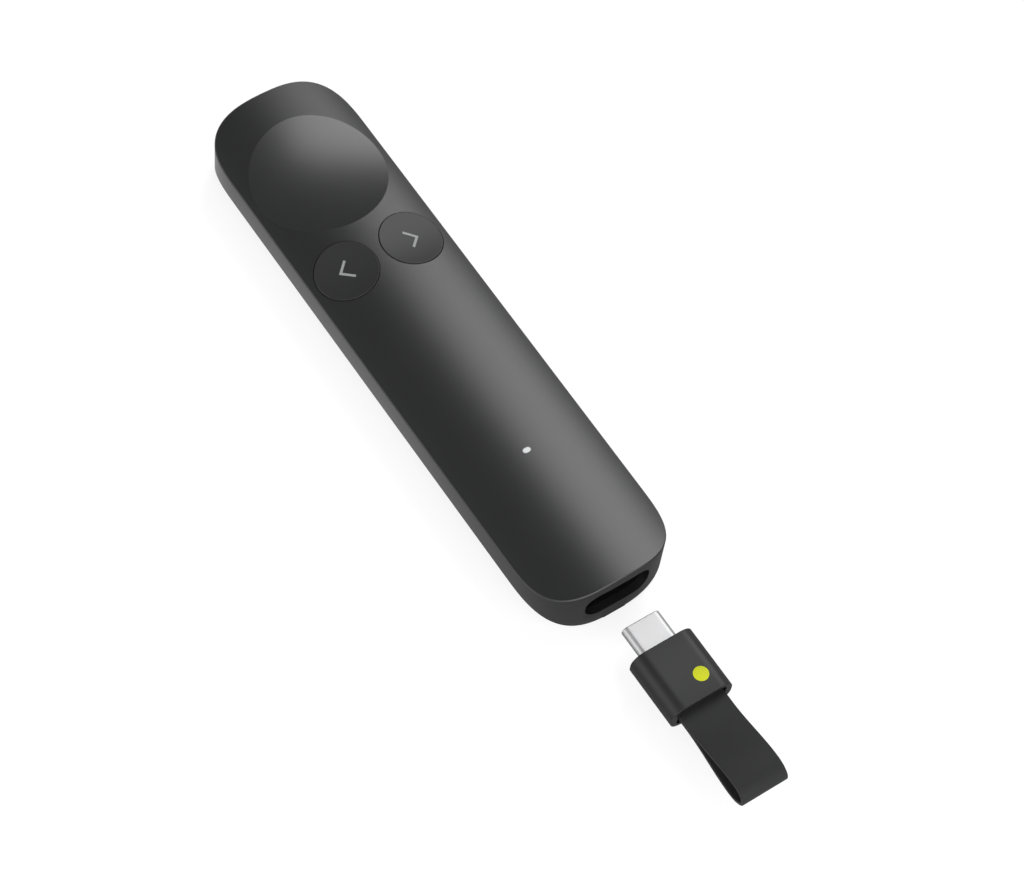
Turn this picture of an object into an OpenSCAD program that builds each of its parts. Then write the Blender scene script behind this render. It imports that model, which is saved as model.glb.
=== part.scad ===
// Wireless presentation clicker with a plug-in receiver on a pull strap.
// Origin: middle of the flat rest strip on the belly. X is across the body,
// +Y runs towards the pointer button, +Z is up. All sizes are in millimetres.

/* [Body shell] */
// Width of the body across its straight sides
body_w = 30; // [29:0.5:33]
// Length of the body from end to end
body_l = 125.2; // [122:0.2:140]
// Height of the upright side wall
wall_h = 5.6; // [5.4:0.1:7]
// Rise of the crowned top above the side wall
crown_h = 3; // [2.6:0.1:3.6]
// Drop of the crowned belly below the side wall
belly_h = 4.8; // [4.4:0.1:6]
// Length of the rounded tip, where the pointer button is
tip_l = 15.9; // [14:0.1:19]
// Length of the rounded tail, where the bay is
tail_l = 15; // [14:0.1:18]
// Squareness of the tip's outline, 2 being an ellipse
tip_n = 3.3; // [2.8:0.1:3.8]
// Squareness of the tail's outline, 2 being an ellipse
tail_n = 3.2; // [2.8:0.1:3.8]
// Thickness of the side walls
wall_t = 1.6; // [1.4:0.1:1.8]
// Thickness of the crowned top
top_t = 1.6; // [1.2:0.1:1.8]
// Thickness of the thin rim round the belly cover
rim_t = 0.9; // [0.7:0.1:1.1]

/* [Belly] */
// Thickness of the belly cover
cover_t = 1.2; // [1:0.1:1.4]
// Gap between the belly cover and the rim
cover_gap = 0.1; // [0.05:0.05:0.2]
// Width of the rubber rest strip
strip_w = 5.2; // [4.6:0.2:7]
// How far the rest strip stands proud of the belly
strip_proud = 0.4; // [0.3:0.1:0.6]
// How deep the rest strip is let into the belly
strip_sink = 0.5; // [0.3:0.1:0.6]
// How much the strip stops short of each end of the body
strip_inset = 0; // [0:0.5:10]
// Radius of the strip's corners
strip_corner = 0.6; // [0.3:0.1:1.2]
// Length over which the strip's underside rises towards each end
strip_ramp = 4; // [2:0.5:8]
// How far the strip still stands proud at its very ends
strip_end_proud = 0.1; // [0.05:0.05:0.3]

/* [Pointer button] */
// Radius of the large round pointer button
pointer_r = 13.54; // [12.4:0.02:13.8]
// Distance from the tip of the body to the pointer button's centre
pointer_back = 21.4; // [20:0.1:24]
// Depth of the finger dish in the pointer button
pointer_dish = 1.14; // [0.6:0.02:1.3]
// Running gap all round the pointer button
pointer_gap = 0.06; // [0.04:0.01:0.1]
// Travel of the three buttons
press_travel = 0.4; // [0.2:0.05:0.5]

/* [Back and next buttons] */
// Radius of the two small buttons
key_r = 6.26; // [5.6:0.02:6.4]
// Distance between the centres of the two small buttons
key_pitch = 14.6; // [14:0.1:15]
// Distance from the pointer button's centre to the small buttons' centres
key_back = 21.8; // [21.4:0.1:24]
// Height of the small buttons' rims above the crown
key_proud = 0.2; // [0.1:0.05:0.4]
// Running gap all round the small buttons
key_gap = 0.12; // [0.08:0.01:0.2]

/* [Status light] */
// Distance from the tail of the body to the status light
light_back = 31.2; // [28.5:0.1:32.5]
// Length of the pill-shaped light across the body
light_w = 1.72; // [1.4:0.02:2.4]
// Width of the pill-shaped light along the body
light_h = 1.14; // [0.8:0.02:1.3]

/* [Receiver] */
// Width of the receiver's housing
case_w = 13.5; // [12.6:0.1:14]
// Thickness of the receiver's housing
case_h = 6.65; // [6.4:0.05:6.8]
// Length of the receiver's housing
case_l = 13.1; // [12:0.1:14]
// Radius of the housing's long edges
case_r = 2.8; // [2:0.1:3]
// Side wall of the receiver's housing
case_wall = 1; // [0.8:0.1:1.2]
// Gap between the plug's tip and the body, as shown pulled out
pull_gap = 6.8; // [1:0.1:20]
// Width of the plug's steel shell
plug_w = 8.25; // [8.25:0.01:8.34]
// Thickness of the plug's steel shell
plug_h = 2.4; // [2.4:0.01:2.5]
// Length of the plug that stands out of the housing
plug_l = 6.55; // [6.2:0.05:6.65]
// Sheet thickness of the plug's shell
plug_wall = 0.25; // [0.2:0.01:0.3]

/* [Bay] */
// Depth of the bay's centre line below the top edge of the side wall
bay_drop = 3.2; // [3:0.1:3.4]
// Gap at each side of the docked receiver
bay_side_gap = 0.35; // [0.2:0.05:0.4]
// Gap above and below the docked receiver
bay_top_gap = 0.2; // [0.15:0.05:0.3]
// Gap between the docked receiver and the bay's floor
bay_end_gap = 0.2; // [0.1:0.05:0.4]
// Wall of the bay's moulded sleeve
sleeve_t = 0.7; // [0.6:0.1:0.8]

/* [Strap] */
// Width of the strap
strap_w = 10; // [8:0.2:10.4]
// Thickness of the strap's band
strap_t = 0.7; // [0.5:0.05:0.8]
// Length of the loop outside the housing
strap_l = 19.8; // [16:0.2:28]
// Height of the loop over both bands at its widest
loop_h = 5.2; // [4.4:0.1:6]
// Length of the rounded fold at the loop's end
fold_l = 3.9; // [3:0.1:5]
// Length over which the two bands lie together
root_l = 2.6; // [2:0.1:4]
// Radius of the pin that holds the strap
pin_r = 0.7; // [0.5:0.05:0.8]
// Width of the recess round the strap
recess_w = 10.6; // [10.4:0.1:11.6]
// Height of the recess round the strap
recess_h = 4.9; // [3.4:0.1:5]
// Depth of the recess round the strap
recess_d = 1.6; // [1:0.1:2]

/* [Main board] */
// Width of the main board
board_w = 24; // [22:0.5:24.5]
// Thickness of the main board
board_t = 0.8; // [0.6:0.1:1]
// Radius of the posts that clamp the board
post_r = 1.9; // [1.7:0.1:2]
// Distance from the tail to the first screw
screw_tail = 24.6; // [23.5:0.1:25]
// Distance from the tip to the middle screw
screw_mid = 56.6; // [55.2:0.1:57.2]
// Distance from the tip to the last screw
screw_tip = 3.7; // [3.6:0.1:4]
// Radius of the screws' shanks
screw_r = 0.8; // [0.7:0.05:0.8]
// Radius of the screws' heads
screw_head_r = 1.4; // [1.3:0.05:1.5]
// Thickness of the screws' heads
screw_head_t = 0.6; // [0.5:0.05:0.7]
// Length of the screws' shanks
screw_l = 8.4; // [7.6:0.1:9]
// Size of a switch's square base
switch_w = 5.2; // [4.5:0.1:5.6]
// Height of a switch's base
switch_h = 1.9; // [1.6:0.1:2]
// Radius of a switch's plunger
plunger_r = 1; // [0.8:0.1:1.4]
// How far a plunger stands out of its switch
plunger_out = 0.7; // [0.5:0.05:0.9]

/* [Battery and motor] */
// Gap between the status light and the battery cell
cell_to_light = 3.33; // [1.6:0.01:8]
// Gap between the battery cell and the post of the middle screw
cell_to_post = 1.6; // [1.3:0.1:4]
// Width of the battery cell
cell_w = 18; // [12:0.5:18.5]
// Thickness of the battery cell
cell_t = 4.4; // [3:0.1:4.5]
// Thickness of the foam pad under the cell
foam_t = 0.3; // [0.2:0.05:0.4]
// Thickness of the soft foam between the cell and the crown
cushion_t = 1; // [0.6:0.1:1.1]
// Wall of the battery cradle
cradle_t = 0.8; // [0.6:0.1:0.9]
// Radius of the coin-shaped haptic motor
motor_r = 4; // [3:0.1:4.2]
// Thickness of the haptic motor
motor_t = 2.4; // [2:0.1:2.5]

/* [Hidden] */

$fn = 96;
// A length by which cutting shapes overshoot what they cut
over = 2;
// Play between pieces of one body that are fitted into each other
fit = 0.03;
// Room round a shank or plunger in a hole that it passes through
slack = 0.1;
// Steps along a quarter of the rounded outline, and along a band's curve
outline_steps = 18;
curve_steps = 14;

// Heights, from the table up
z_belly = strip_proud;
z_wall = z_belly + belly_h;
z_edge = z_wall + wall_h;
z_top = z_edge + crown_h;
z_bay = z_edge - bay_drop;
// Upper face of the screws' heads, which the rest strip covers from below
z_head = z_belly + strip_sink + screw_head_t;

// Places along the body
y_tail = -body_l / 2;
y_tip = body_l / 2;
y_pointer = y_tip - pointer_back;
y_keys = y_pointer - key_back;
y_light = y_tail + light_back;
y_mid = y_tip - screw_mid;
screw_places = [y_tail + screw_tail, y_mid, y_tip - screw_tip];

// Radii of the crowned top and belly, which are long cylinders
crown_r = (pow(body_w / 2, 2) + pow(crown_h, 2)) / (2 * crown_h);
belly_r = (pow(body_w / 2, 2) + pow(belly_h, 2)) / (2 * belly_h);

// The pointer button's top: hollow along the body, crowned across it
dish_along_r = (pow(pointer_r, 2) + pow(pointer_dish, 2)) / (2 * pointer_dish);
dish_across_r = 1 / (1 / crown_r - 1 / dish_along_r);
// A small button's top follows the crown at its rim, so its dish is set
key_dish = pow(key_r, 2) / (2 * crown_r);

// Cross cut in each screw's head, and the blind end of its pilot hole
cross_l = 1.5;
cross_w = 0.3;
pilot_end = 0.6;

// Buttons' hidden sides
cap_t = 1.2;
skirt_t = 1.1;
skirt_drop = 1.6;
z_skirt = z_edge - skirt_drop;
z_well = z_skirt - press_travel - 0.4;
switch_floor = 0.5;
guide_r = 1.5;
tab_l = 1;
tab_root = 1;
tab_gap = 0.12;
pointer_tab_w = 6;
key_tab_w = 3;

// The charging port stands on the main board, level with the bay
port_w = 8.94;
port_h = 3.26;
port_l = 7.35;
port_wall = 0.3;
port_floor = 0.75;
tongue_w = 6.69;
tongue_t = 0.64;
tongue_l = 4.7;
contact_t = 0.03;
contact_w = 0.25;
contact_pitch = 0.5;
contact_count = 12;
contact_in = 0.4;
port_contact_l = 3.2;
plug_contact_l = 4.2;
z_board = z_bay - port_h / 2;
z_under = z_board - board_t;
z_post = z_board + switch_h + plunger_out;

// The status light's source, which the clear pipe stands on
led_w = 1.6;
led_l = 0.8;
led_h = 0.6;

// The bay, and the receiver in front of it
bay_w = case_w + 2 * bay_side_gap;
bay_h = case_h + 2 * bay_top_gap;
y_bay = y_tail + case_l + bay_end_gap;
y_plug = y_tail - pull_gap;
y_case = y_plug - plug_l;
y_rear = y_case - case_l;
y_board = y_bay + sleeve_t + 0.3;
board_gap = 0.5;
web_t = 1.2;
y_hollow = y_rear + recess_d + web_t;
nose_t = 1.2;
plug_root = 3;
insert_in = 0.3;
slot_w = tongue_w + 0.25;
slot_h = 0.9;
slot_d = 5.4;

// The strap's eye goes round the pin, inside the housing
eye_r = pin_r + fit + strap_t;
eye_back = recess_d + web_t + eye_r + slack;

// The middle of the strap's upper band, as distance from the housing and height
loop_rise = (loop_h - strap_t) / 2;
fold_start = strap_l - fold_l;
band_rest = strap_t / 2;

// The receiver's own small board lies between the strap's eye and the plug
receiver_board_t = 0.8;
receiver_board_w = 9;
receiver_chip_w = 2.6;
receiver_chip_h = 0.7;
y_board_low = y_rear + eye_back + eye_r + 0.3;
y_board_high = y_case - plug_root;

// The battery fills the room between the status light and the middle screw
y_cell = y_light + light_h / 2 + cell_to_light;
cell_l = y_mid - post_r - cell_to_post - y_cell;
cell_corner = 0.8;
foam_in = 2;
cushion_in = 4;
z_cell = z_board + foam_t;
cradle_gap = 0.2;
cradle_h = 2.6;
lead_r = 0.4;
lead_l = 3.2;
lead_in = 1.1;
lead_pitch = 1.5;
lead_x = [cell_w / 2 - lead_in - lead_pitch, cell_w / 2 - lead_in];
lead_gap = 1.2;
socket_w = 4.4;
socket_l = 3.4;
socket_h = 2.8;
motor_back = 10;
motor_step = 0.2;
motor_rim = 0.8;
y_motor = y_pointer - motor_back;

// Parts under the main board: width, length and height of each, how far to
// the side it sits, and how far it is from the piece whose place it follows
processor_size = [6, 6, 0.8];
processor_to_screw = 10.6;
charger_size = [3, 3, 0.7];
charger_side = 5.5;
charger_to_light = 1.2;
sensor_size = [3, 2.5, 0.9];
sensor_to_pointer = 4.1;
shield_size = [11, 12, 1.5];
shield_wall = 0.2;
shield_to_keys = 2.9;
antenna_size = [5, 1.6, 1];
antenna_side = 6;
antenna_to_tip = 7.7;

// ---------- outlines ----------

// A quarter of a rounded end, from the side to the middle
function quarter(a, b, n) = [
    for (i = [0 : outline_steps])
        let (t = 90 * i / outline_steps)
        [a * pow(cos(t), 2 / n), b * pow(sin(t), 2 / n)]
];

function flip_x(points) = [for (i = [len(points) - 1 : -1 : 0]) [-points[i][0], points[i][1]]];
function flip_y(points) = [for (i = [len(points) - 1 : -1 : 0]) [points[i][0], -points[i][1]]];
function move_y(points, y) = [for (p = points) [p[0], p[1] + y]];
function but_first(points) = [for (i = [1 : len(points) - 1]) points[i]];

// Half of the outline, from the right side over one end to the left side
function end_outline(a, b, n) = concat(quarter(a, b, n), but_first(flip_x(quarter(a, b, n))));

// The body seen from above, drawn in by inset
module plan(inset = 0) {
    a = body_w / 2 - inset;
    tip = move_y(end_outline(a, tip_l - inset, tip_n), y_tip - tip_l);
    tail = move_y(flip_y(end_outline(a, tail_l - inset, tail_n)), y_tail + tail_l);
    polygon(concat(tip, tail));
}

module stadium(w, h) {
    square([w - h, h], center = true);
    for (side = [-1, 1]) {
        translate([side * (w - h) / 2, 0]) circle(d = h);
    }
}

module round_rect(w, h, r) {
    square([w - 2 * r, h], center = true);
    square([w, h - 2 * r], center = true);
    for (x = [-1, 1], y = [-1, 1]) {
        translate([x * (w / 2 - r), y * (h / 2 - r)]) circle(r = r);
    }
}

// ---------- shared solids ----------

module prism(inset, z_low, z_high) {
    translate([0, 0, z_low]) linear_extrude(z_high - z_low) plan(inset);
}

// Draws an outline upright and pushes it along Y, between two places
module along_y(y_low, y_high) {
    translate([0, y_high, 0]) rotate([90, 0, 0]) linear_extrude(y_high - y_low) children();
}

module log_y(r, z) {
    translate([0, 0, z]) rotate([90, 0, 0]) cylinder(r = r, h = 2 * body_l, center = true);
}

// Everything under the crown, and everything over the belly, drawn in
module under_crown(inset = 0) {
    log_y(crown_r - inset, z_top - crown_r);
}

module over_belly(inset = 0) {
    log_y(belly_r - inset, z_belly + belly_r);
}

module disc(r, z_low, z_high) {
    translate([0, 0, z_low]) cylinder(r = r, h = z_high - z_low);
}

module block(size_x, size_y, z_low, z_high) {
    translate([0, 0, (z_low + z_high) / 2]) {
        cube([size_x, size_y, z_high - z_low], center = true);
    }
}

module strip_prism(gap, z_low, z_high) {
    translate([0, 0, z_low]) linear_extrude(z_high - z_low) {
        round_rect(strip_w + 2 * gap, body_l - 2 * strip_inset + 2 * gap, strip_corner);
    }
}

// ---------- shell, belly and their fasteners ----------

module upper_shell() {
    color([0.27, 0.28, 0.28]) difference() {
        union() {
            shell_skin();
            shell_posts();
        }
        translate([0, y_pointer, 0]) disc(pointer_r + pointer_gap, z_well, z_top + over);
        for (side = [-1, 1]) {
            translate([side * key_pitch / 2, y_keys, 0]) disc(key_r + key_gap, z_well, z_top + over);
        }
        translate([0, y_light, z_edge - over]) linear_extrude(crown_h + 2 * over) {
            stadium(light_w + 2 * fit, light_h + 2 * fit);
        }
        for (y = screw_places) {
            translate([0, y, 0]) disc(screw_r + fit, z_board - over, z_head + screw_l + pilot_end);
        }
        translate([0, 0, z_bay]) along_y(y_tail - over, y_tail + tail_l / 2) stadium(bay_w, bay_h);
        strip_prism(fit, -over, z_belly + strip_sink);
    }
}

module shell_skin() {
    difference() {
        intersection() {
            prism(0, 0, z_top + over);
            under_crown();
            over_belly();
        }
        intersection() {
            prism(wall_t, -over, z_top);
            under_crown(top_t);
        }
        difference() {
            prism(rim_t, -over, z_edge);
            over_belly(cover_t);
        }
    }
}

module shell_posts() {
    intersection() {
        under_crown(top_t / 2);
        for (y = screw_places) {
            translate([0, y, 0]) disc(post_r, z_board, z_top);
        }
    }
}

module belly_cover() {
    color([0.2, 0.2, 0.2]) difference() {
        union() {
            difference() {
                intersection() {
                    prism(rim_t + cover_gap, 0, z_edge);
                    over_belly();
                }
                over_belly(cover_t);
            }
            intersection() {
                over_belly(cover_t / 2);
                for (y = screw_places) {
                    translate([0, y, 0]) disc(post_r, 0, z_under);
                }
            }
        }
        strip_prism(fit, -over, z_belly + strip_sink);
        for (y = screw_places) {
            translate([0, y, 0]) disc(screw_head_r + fit, -over, z_head);
            translate([0, y, 0]) disc(screw_r + slack, -over, z_under + over);
        }
    }
}

module rest_strip() {
    color([0.06, 0.06, 0.06]) difference() {
        strip_prism(0, 0, z_belly + strip_sink);
        strip_rise();
        mirror([0, 1, 0]) strip_rise();
    }
}

// What is cut away under the strip's end, so that it doesn't catch and peel
module strip_rise() {
    y_end = body_l / 2 - strip_inset;
    slope = (z_belly - strip_end_proud) / strip_ramp;
    translate([-strip_w, 0, 0]) rotate([90, 0, 90]) linear_extrude(2 * strip_w) {
        polygon([[y_end - strip_ramp, 0], [y_end + over, -over], [y_end + over, slope * (strip_ramp + over)]]);
    }
}

module cover_screws() {
    color([0.6, 0.6, 0.6]) for (y = screw_places) {
        translate([0, y, 0]) difference() {
            union() {
                disc(screw_head_r, z_head - screw_head_t, z_head);
                disc(screw_r, z_head - screw_head_t / 2, z_head + screw_l);
            }
            for (turn = [0, 90]) {
                rotate(turn) block(cross_l, cross_w, 0, z_head - screw_head_t / 2);
            }
        }
    }
}

// ---------- pointer button ----------

// Everything over a saddle that is hollow along Y and crowned along X
module over_saddle(depth) {
    w = 2 * pointer_r + 2 * over;
    translate([0, y_pointer, z_top - depth + dish_along_r]) rotate([0, 90, 0]) rotate_extrude() {
        difference() {
            translate([0, -w / 2]) square([dish_along_r + 2 * crown_h, w]);
            translate([dish_along_r + dish_across_r, 0]) circle(r = dish_across_r, $fn = 240);
        }
    }
}

module pointer_button() {
    color([0.25, 0.26, 0.26]) difference() {
        union() {
            translate([0, y_pointer, 0]) disc(pointer_r, z_skirt, z_top + over);
            for (side = [-1, 1]) {
                translate([0, y_pointer + side * (pointer_r + (tab_l - tab_root) / 2), 0]) {
                    block(pointer_tab_w, tab_l + tab_root, z_skirt, tab_top(pointer_tab_w / 2));
                }
            }
        }
        over_saddle(pointer_dish);
        difference() {
            translate([0, y_pointer, 0]) disc(pointer_r - skirt_t, z_skirt - over, z_top + over);
            over_saddle(pointer_dish + cap_t);
            translate([0, y_pointer, 0]) disc(guide_r, z_post, z_top);
        }
        translate([0, y_pointer, 0]) disc(guide_r + over, z_skirt - over, z_post);
    }
}

// Height of the crown's inside at a distance from the middle, less the play
function tab_top(x) = z_top - crown_r + sqrt(pow(crown_r - top_t, 2) - pow(x, 2)) - tab_gap;

// ---------- back and next buttons ----------

// Everything over a small button's dish: the crown turned a quarter turn
module over_key(side, lift) {
    x = side * key_pitch / 2;
    lean = asin(x / crown_r);
    translate([x, y_keys, z_top - crown_r + crown_r * cos(lean)]) rotate([0, lean, 0]) {
        translate([0, 0, crown_r + lift]) rotate([0, 90, 0]) {
            cylinder(r = crown_r, h = 4 * key_r, center = true);
        }
    }
}

module key_button(side) {
    x = side * key_pitch / 2;
    difference() {
        translate([x, y_keys, 0]) union() {
            disc(key_r, z_skirt, z_top + over);
            for (end = [-1, 1]) {
                translate([0, end * (key_r + (tab_l - tab_root) / 2), 0]) {
                    block(key_tab_w, tab_l + tab_root, z_skirt, tab_top(key_pitch / 2 + key_tab_w / 2));
                }
            }
        }
        over_key(side, key_proud - key_dish);
        difference() {
            translate([x, y_keys, 0]) disc(key_r - skirt_t, z_skirt - over, z_top + over);
            over_key(side, key_proud - key_dish - cap_t);
            translate([x, y_keys, 0]) disc(guide_r, z_post, z_top);
        }
    }
}

module back_button() {
    color([0.2, 0.2, 0.2]) key_button(-1);
}

module next_button() {
    color([0.2, 0.2, 0.2]) key_button(1);
}

// ---------- switches under the buttons ----------

module switch_base() {
    difference() {
        block(switch_w, switch_w, z_board, z_board + switch_h);
        disc(plunger_r + slack, z_board + switch_floor, z_board + switch_h + over);
    }
}

module plunger() {
    disc(plunger_r, z_board + switch_floor + slack + press_travel, z_post);
}

module at_key(side) {
    translate([side * key_pitch / 2, y_keys, 0]) children();
}

module pointer_switch() {
    color([0.16, 0.16, 0.17]) translate([0, y_pointer, 0]) switch_base();
}

module back_switch() {
    color([0.16, 0.16, 0.17]) at_key(-1) switch_base();
}

module next_switch() {
    color([0.16, 0.16, 0.17]) at_key(1) switch_base();
}

module pointer_plunger() {
    color([0.8, 0.78, 0.7]) translate([0, y_pointer, 0]) plunger();
}

module back_plunger() {
    color([0.8, 0.78, 0.7]) at_key(-1) plunger();
}

module next_plunger() {
    color([0.8, 0.78, 0.7]) at_key(1) plunger();
}

// ---------- status light ----------

module status_led() {
    color([0.95, 0.95, 0.85]) translate([0, y_light, 0]) block(led_w, led_l, z_board, z_board + led_h);
}

module light_pipe() {
    color([0.95, 0.97, 1]) intersection() {
        under_crown();
        translate([0, y_light, z_board + led_h]) linear_extrude(z_top - z_board) {
            stadium(light_w, light_h);
        }
    }
}

// ---------- main board and what stands on it ----------

module main_board() {
    color([0.08, 0.3, 0.16]) difference() {
        intersection() {
            prism(wall_t + board_gap, z_under, z_board);
            translate([0, (y_board + y_tip) / 2, 0]) {
                block(board_w, y_tip - y_board, z_under - over, z_board + over);
            }
        }
        for (y = screw_places) {
            translate([0, y, 0]) disc(screw_r + slack, z_under - over, z_board + over);
        }
    }
}

// A part under the board, in a box of the given size
module below_board(size, x, y) {
    translate([x, y, 0]) block(size[0], size[1], z_under - size[2], z_under);
}

module processor_chip() {
    color([0.1, 0.1, 0.1]) below_board(processor_size, 0, y_mid - processor_to_screw);
}

module charger_chip() {
    color([0.1, 0.1, 0.1]) below_board(charger_size, charger_side, y_light - charger_to_light);
}

module motion_sensor() {
    color([0.12, 0.12, 0.12]) below_board(sensor_size, 0, y_pointer + sensor_to_pointer);
}

module radio_shield() {
    hollow = [shield_size[0] - 2 * shield_wall, shield_size[1] - 2 * shield_wall];
    color([0.75, 0.75, 0.77]) translate([0, y_keys + shield_to_keys, 0]) difference() {
        block(shield_size[0], shield_size[1], z_under - shield_size[2], z_under);
        block(hollow[0], hollow[1], z_under - shield_size[2] + shield_wall, z_under + over);
    }
}

module chip_antenna() {
    color([0.9, 0.9, 0.88]) below_board(antenna_size, antenna_side, y_tip - antenna_to_tip);
}

module haptic_motor() {
    color([0.78, 0.78, 0.8]) translate([0, y_motor, 0]) {
        disc(motor_r, z_board, z_board + motor_t - motor_step);
        disc(motor_r - motor_rim, z_board, z_board + motor_t);
    }
}

// ---------- battery ----------

module at_cell() {
    translate([0, y_cell + cell_l / 2, 0]) children();
}

module battery_cell() {
    color([0.72, 0.74, 0.78]) at_cell() translate([0, 0, z_cell]) linear_extrude(cell_t) {
        round_rect(cell_w, cell_l, cell_corner);
    }
}

module battery_foam() {
    color([0.15, 0.15, 0.15]) at_cell() {
        block(cell_w - 2 * foam_in, cell_l - 2 * foam_in, z_board, z_cell);
        block(cell_w - 2 * cushion_in, cell_l - 2 * foam_in, z_cell + cell_t, z_cell + cell_t + cushion_t);
    }
}

module battery_cradle() {
    color([0.3, 0.3, 0.3]) at_cell() difference() {
        block(cell_w + 2 * (cradle_gap + cradle_t), cell_l + 2 * (cradle_gap + cradle_t),
              z_board, z_board + cradle_h);
        block(cell_w + 2 * cradle_gap, cell_l + 2 * cradle_gap, z_board - over, z_board + cradle_h + over);
        translate([(lead_x[0] + lead_x[1]) / 2, cell_l / 2, 0]) {
            block(lead_x[1] - lead_x[0] + 2 * lead_gap, 4, z_board - over, z_board + cradle_h + over);
        }
    }
}

module battery_lead() {
    color([0.7, 0.1, 0.1]) for (x = lead_x) {
        translate([x, y_cell + cell_l + lead_l, z_board + socket_h / 2]) rotate([90, 0, 0]) {
            cylinder(r = lead_r, h = lead_l);
        }
    }
}

module battery_socket() {
    y_socket = y_cell + cell_l + lead_l + socket_l / 2;
    color([0.9, 0.88, 0.8]) translate([(lead_x[0] + lead_x[1]) / 2, y_socket, 0]) {
        block(socket_w, socket_l, z_board, z_board + socket_h);
    }
}

// ---------- bay and charging port ----------

module bay_sleeve() {
    color([0.04, 0.04, 0.04]) intersection() {
        prism(wall_t, 0, z_top);
        translate([0, 0, z_bay]) difference() {
            along_y(y_tail, y_bay + sleeve_t) stadium(bay_w + 2 * sleeve_t, bay_h + 2 * sleeve_t);
            along_y(y_tail - over, y_bay) stadium(bay_w, bay_h);
            along_y(y_bay - over, y_bay + over) stadium(port_w + 2 * fit, port_h + 2 * fit);
        }
    }
}

module port_shell() {
    color([0.75, 0.75, 0.76]) translate([0, 0, z_bay]) difference() {
        along_y(y_bay, y_bay + port_l) stadium(port_w, port_h);
        along_y(y_bay - over, y_bay + port_l + over) {
            stadium(port_w - 2 * port_wall, port_h - 2 * port_wall);
        }
    }
}

module port_tongue() {
    color([0.1, 0.1, 0.1]) translate([0, 0, z_bay]) {
        along_y(y_bay + port_l - port_floor, y_bay + port_l) {
            stadium(port_w - 2 * port_wall, port_h - 2 * port_wall);
        }
        along_y(y_bay + port_l - port_floor - tongue_l, y_bay + port_l) {
            square([tongue_w, tongue_t], center = true);
        }
    }
}

// A row of gold contacts on each face of a tongue or slot
module contact_rows(y_low, y_high, z_face) {
    for (i = [0 : contact_count - 1], side = [-1, 1]) {
        translate([(i - (contact_count - 1) / 2) * contact_pitch, 0, z_bay + side * z_face]) {
            along_y(y_low, y_high) square([contact_w, contact_t], center = true);
        }
    }
}

module port_contacts() {
    low = y_bay + port_l - port_floor - tongue_l + contact_in;
    color([0.85, 0.7, 0.35]) {
        contact_rows(low, low + port_contact_l, (tongue_t + contact_t) / 2);
    }
}

// ---------- receiver ----------

module receiver_housing() {
    color([0.26, 0.26, 0.26]) translate([0, 0, z_bay]) difference() {
        along_y(y_rear, y_case) round_rect(case_w, case_h, case_r);
        along_y(y_hollow, y_case + over) hollow_outline(0);
        along_y(y_rear - over, y_rear + recess_d) round_rect(recess_w, recess_h, 1);
        along_y(y_rear - over, y_hollow + over) {
            square([strap_w + 4 * fit, 2 * strap_t + 2 * fit], center = true);
        }
    }
}

module hollow_outline(gap) {
    round_rect(case_w - 2 * case_wall - 2 * gap, case_h - 2 * case_wall - 2 * gap, case_r - case_wall);
}

module receiver_nose() {
    color([0.22, 0.22, 0.22]) translate([0, 0, z_bay]) difference() {
        along_y(y_case - nose_t, y_case) hollow_outline(fit);
        along_y(y_case - nose_t - over, y_case + over) stadium(plug_w + 2 * fit, plug_h + 2 * fit);
    }
}

module plug_shell() {
    color([0.88, 0.88, 0.88]) translate([0, 0, z_bay]) difference() {
        along_y(y_case - plug_root, y_plug) stadium(plug_w, plug_h);
        along_y(y_case - plug_root - over, y_plug + over) {
            stadium(plug_w - 2 * plug_wall, plug_h - 2 * plug_wall);
        }
    }
}

module plug_insert() {
    color([0.1, 0.1, 0.1]) translate([0, 0, z_bay]) difference() {
        along_y(y_case - plug_root, y_plug - insert_in) {
            stadium(plug_w - 2 * plug_wall - 2 * fit, plug_h - 2 * plug_wall - 2 * fit);
        }
        along_y(y_plug - slot_d, y_plug + over) square([slot_w, slot_h], center = true);
    }
}

module plug_contacts() {
    slot_end = y_plug - slot_d + insert_in;
    color([0.85, 0.7, 0.35]) {
        contact_rows(slot_end, slot_end + plug_contact_l, (slot_h - contact_t) / 2);
    }
}

module receiver_board() {
    color([0.08, 0.3, 0.16]) translate([0, 0, z_bay]) {
        along_y(y_board_low, y_board_high) {
            square([receiver_board_w, receiver_board_t], center = true);
        }
    }
}

module receiver_chip() {
    color([0.1, 0.1, 0.1]) translate([0, (y_board_low + y_board_high) / 2, z_bay]) {
        top = receiver_board_t / 2 + receiver_chip_h;
        block(receiver_chip_w, receiver_chip_w, receiver_board_t / 2, top);
    }
}

// ---------- strap ----------

function ease(u) = u * u * (3 - 2 * u);

// A band swells from the root to the fold, then turns on half an ellipse.
// side is 1 for the outside of the loop and -1 for its inside.
function band_curve(side) = concat(
    [for (i = [0 : curve_steps])
        let (u = i / curve_steps)
        [root_l + u * (fold_start - root_l),
         band_rest + (loop_rise - band_rest) * ease(u) + side * strap_t / 2]],
    [for (i = [1 : curve_steps])
        let (t = 90 * i / curve_steps)
        [fold_start + (fold_l - (1 - side) * strap_t / 2) * sin(t),
         (loop_rise + side * strap_t / 2) * cos(t)]]
);

// The whole loop's outline, over the upper band and back along the lower one
module loop_outline(side, start) {
    upper = concat(start, band_curve(side));
    polygon(concat(upper, but_first(flip_y(upper))));
}

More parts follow.
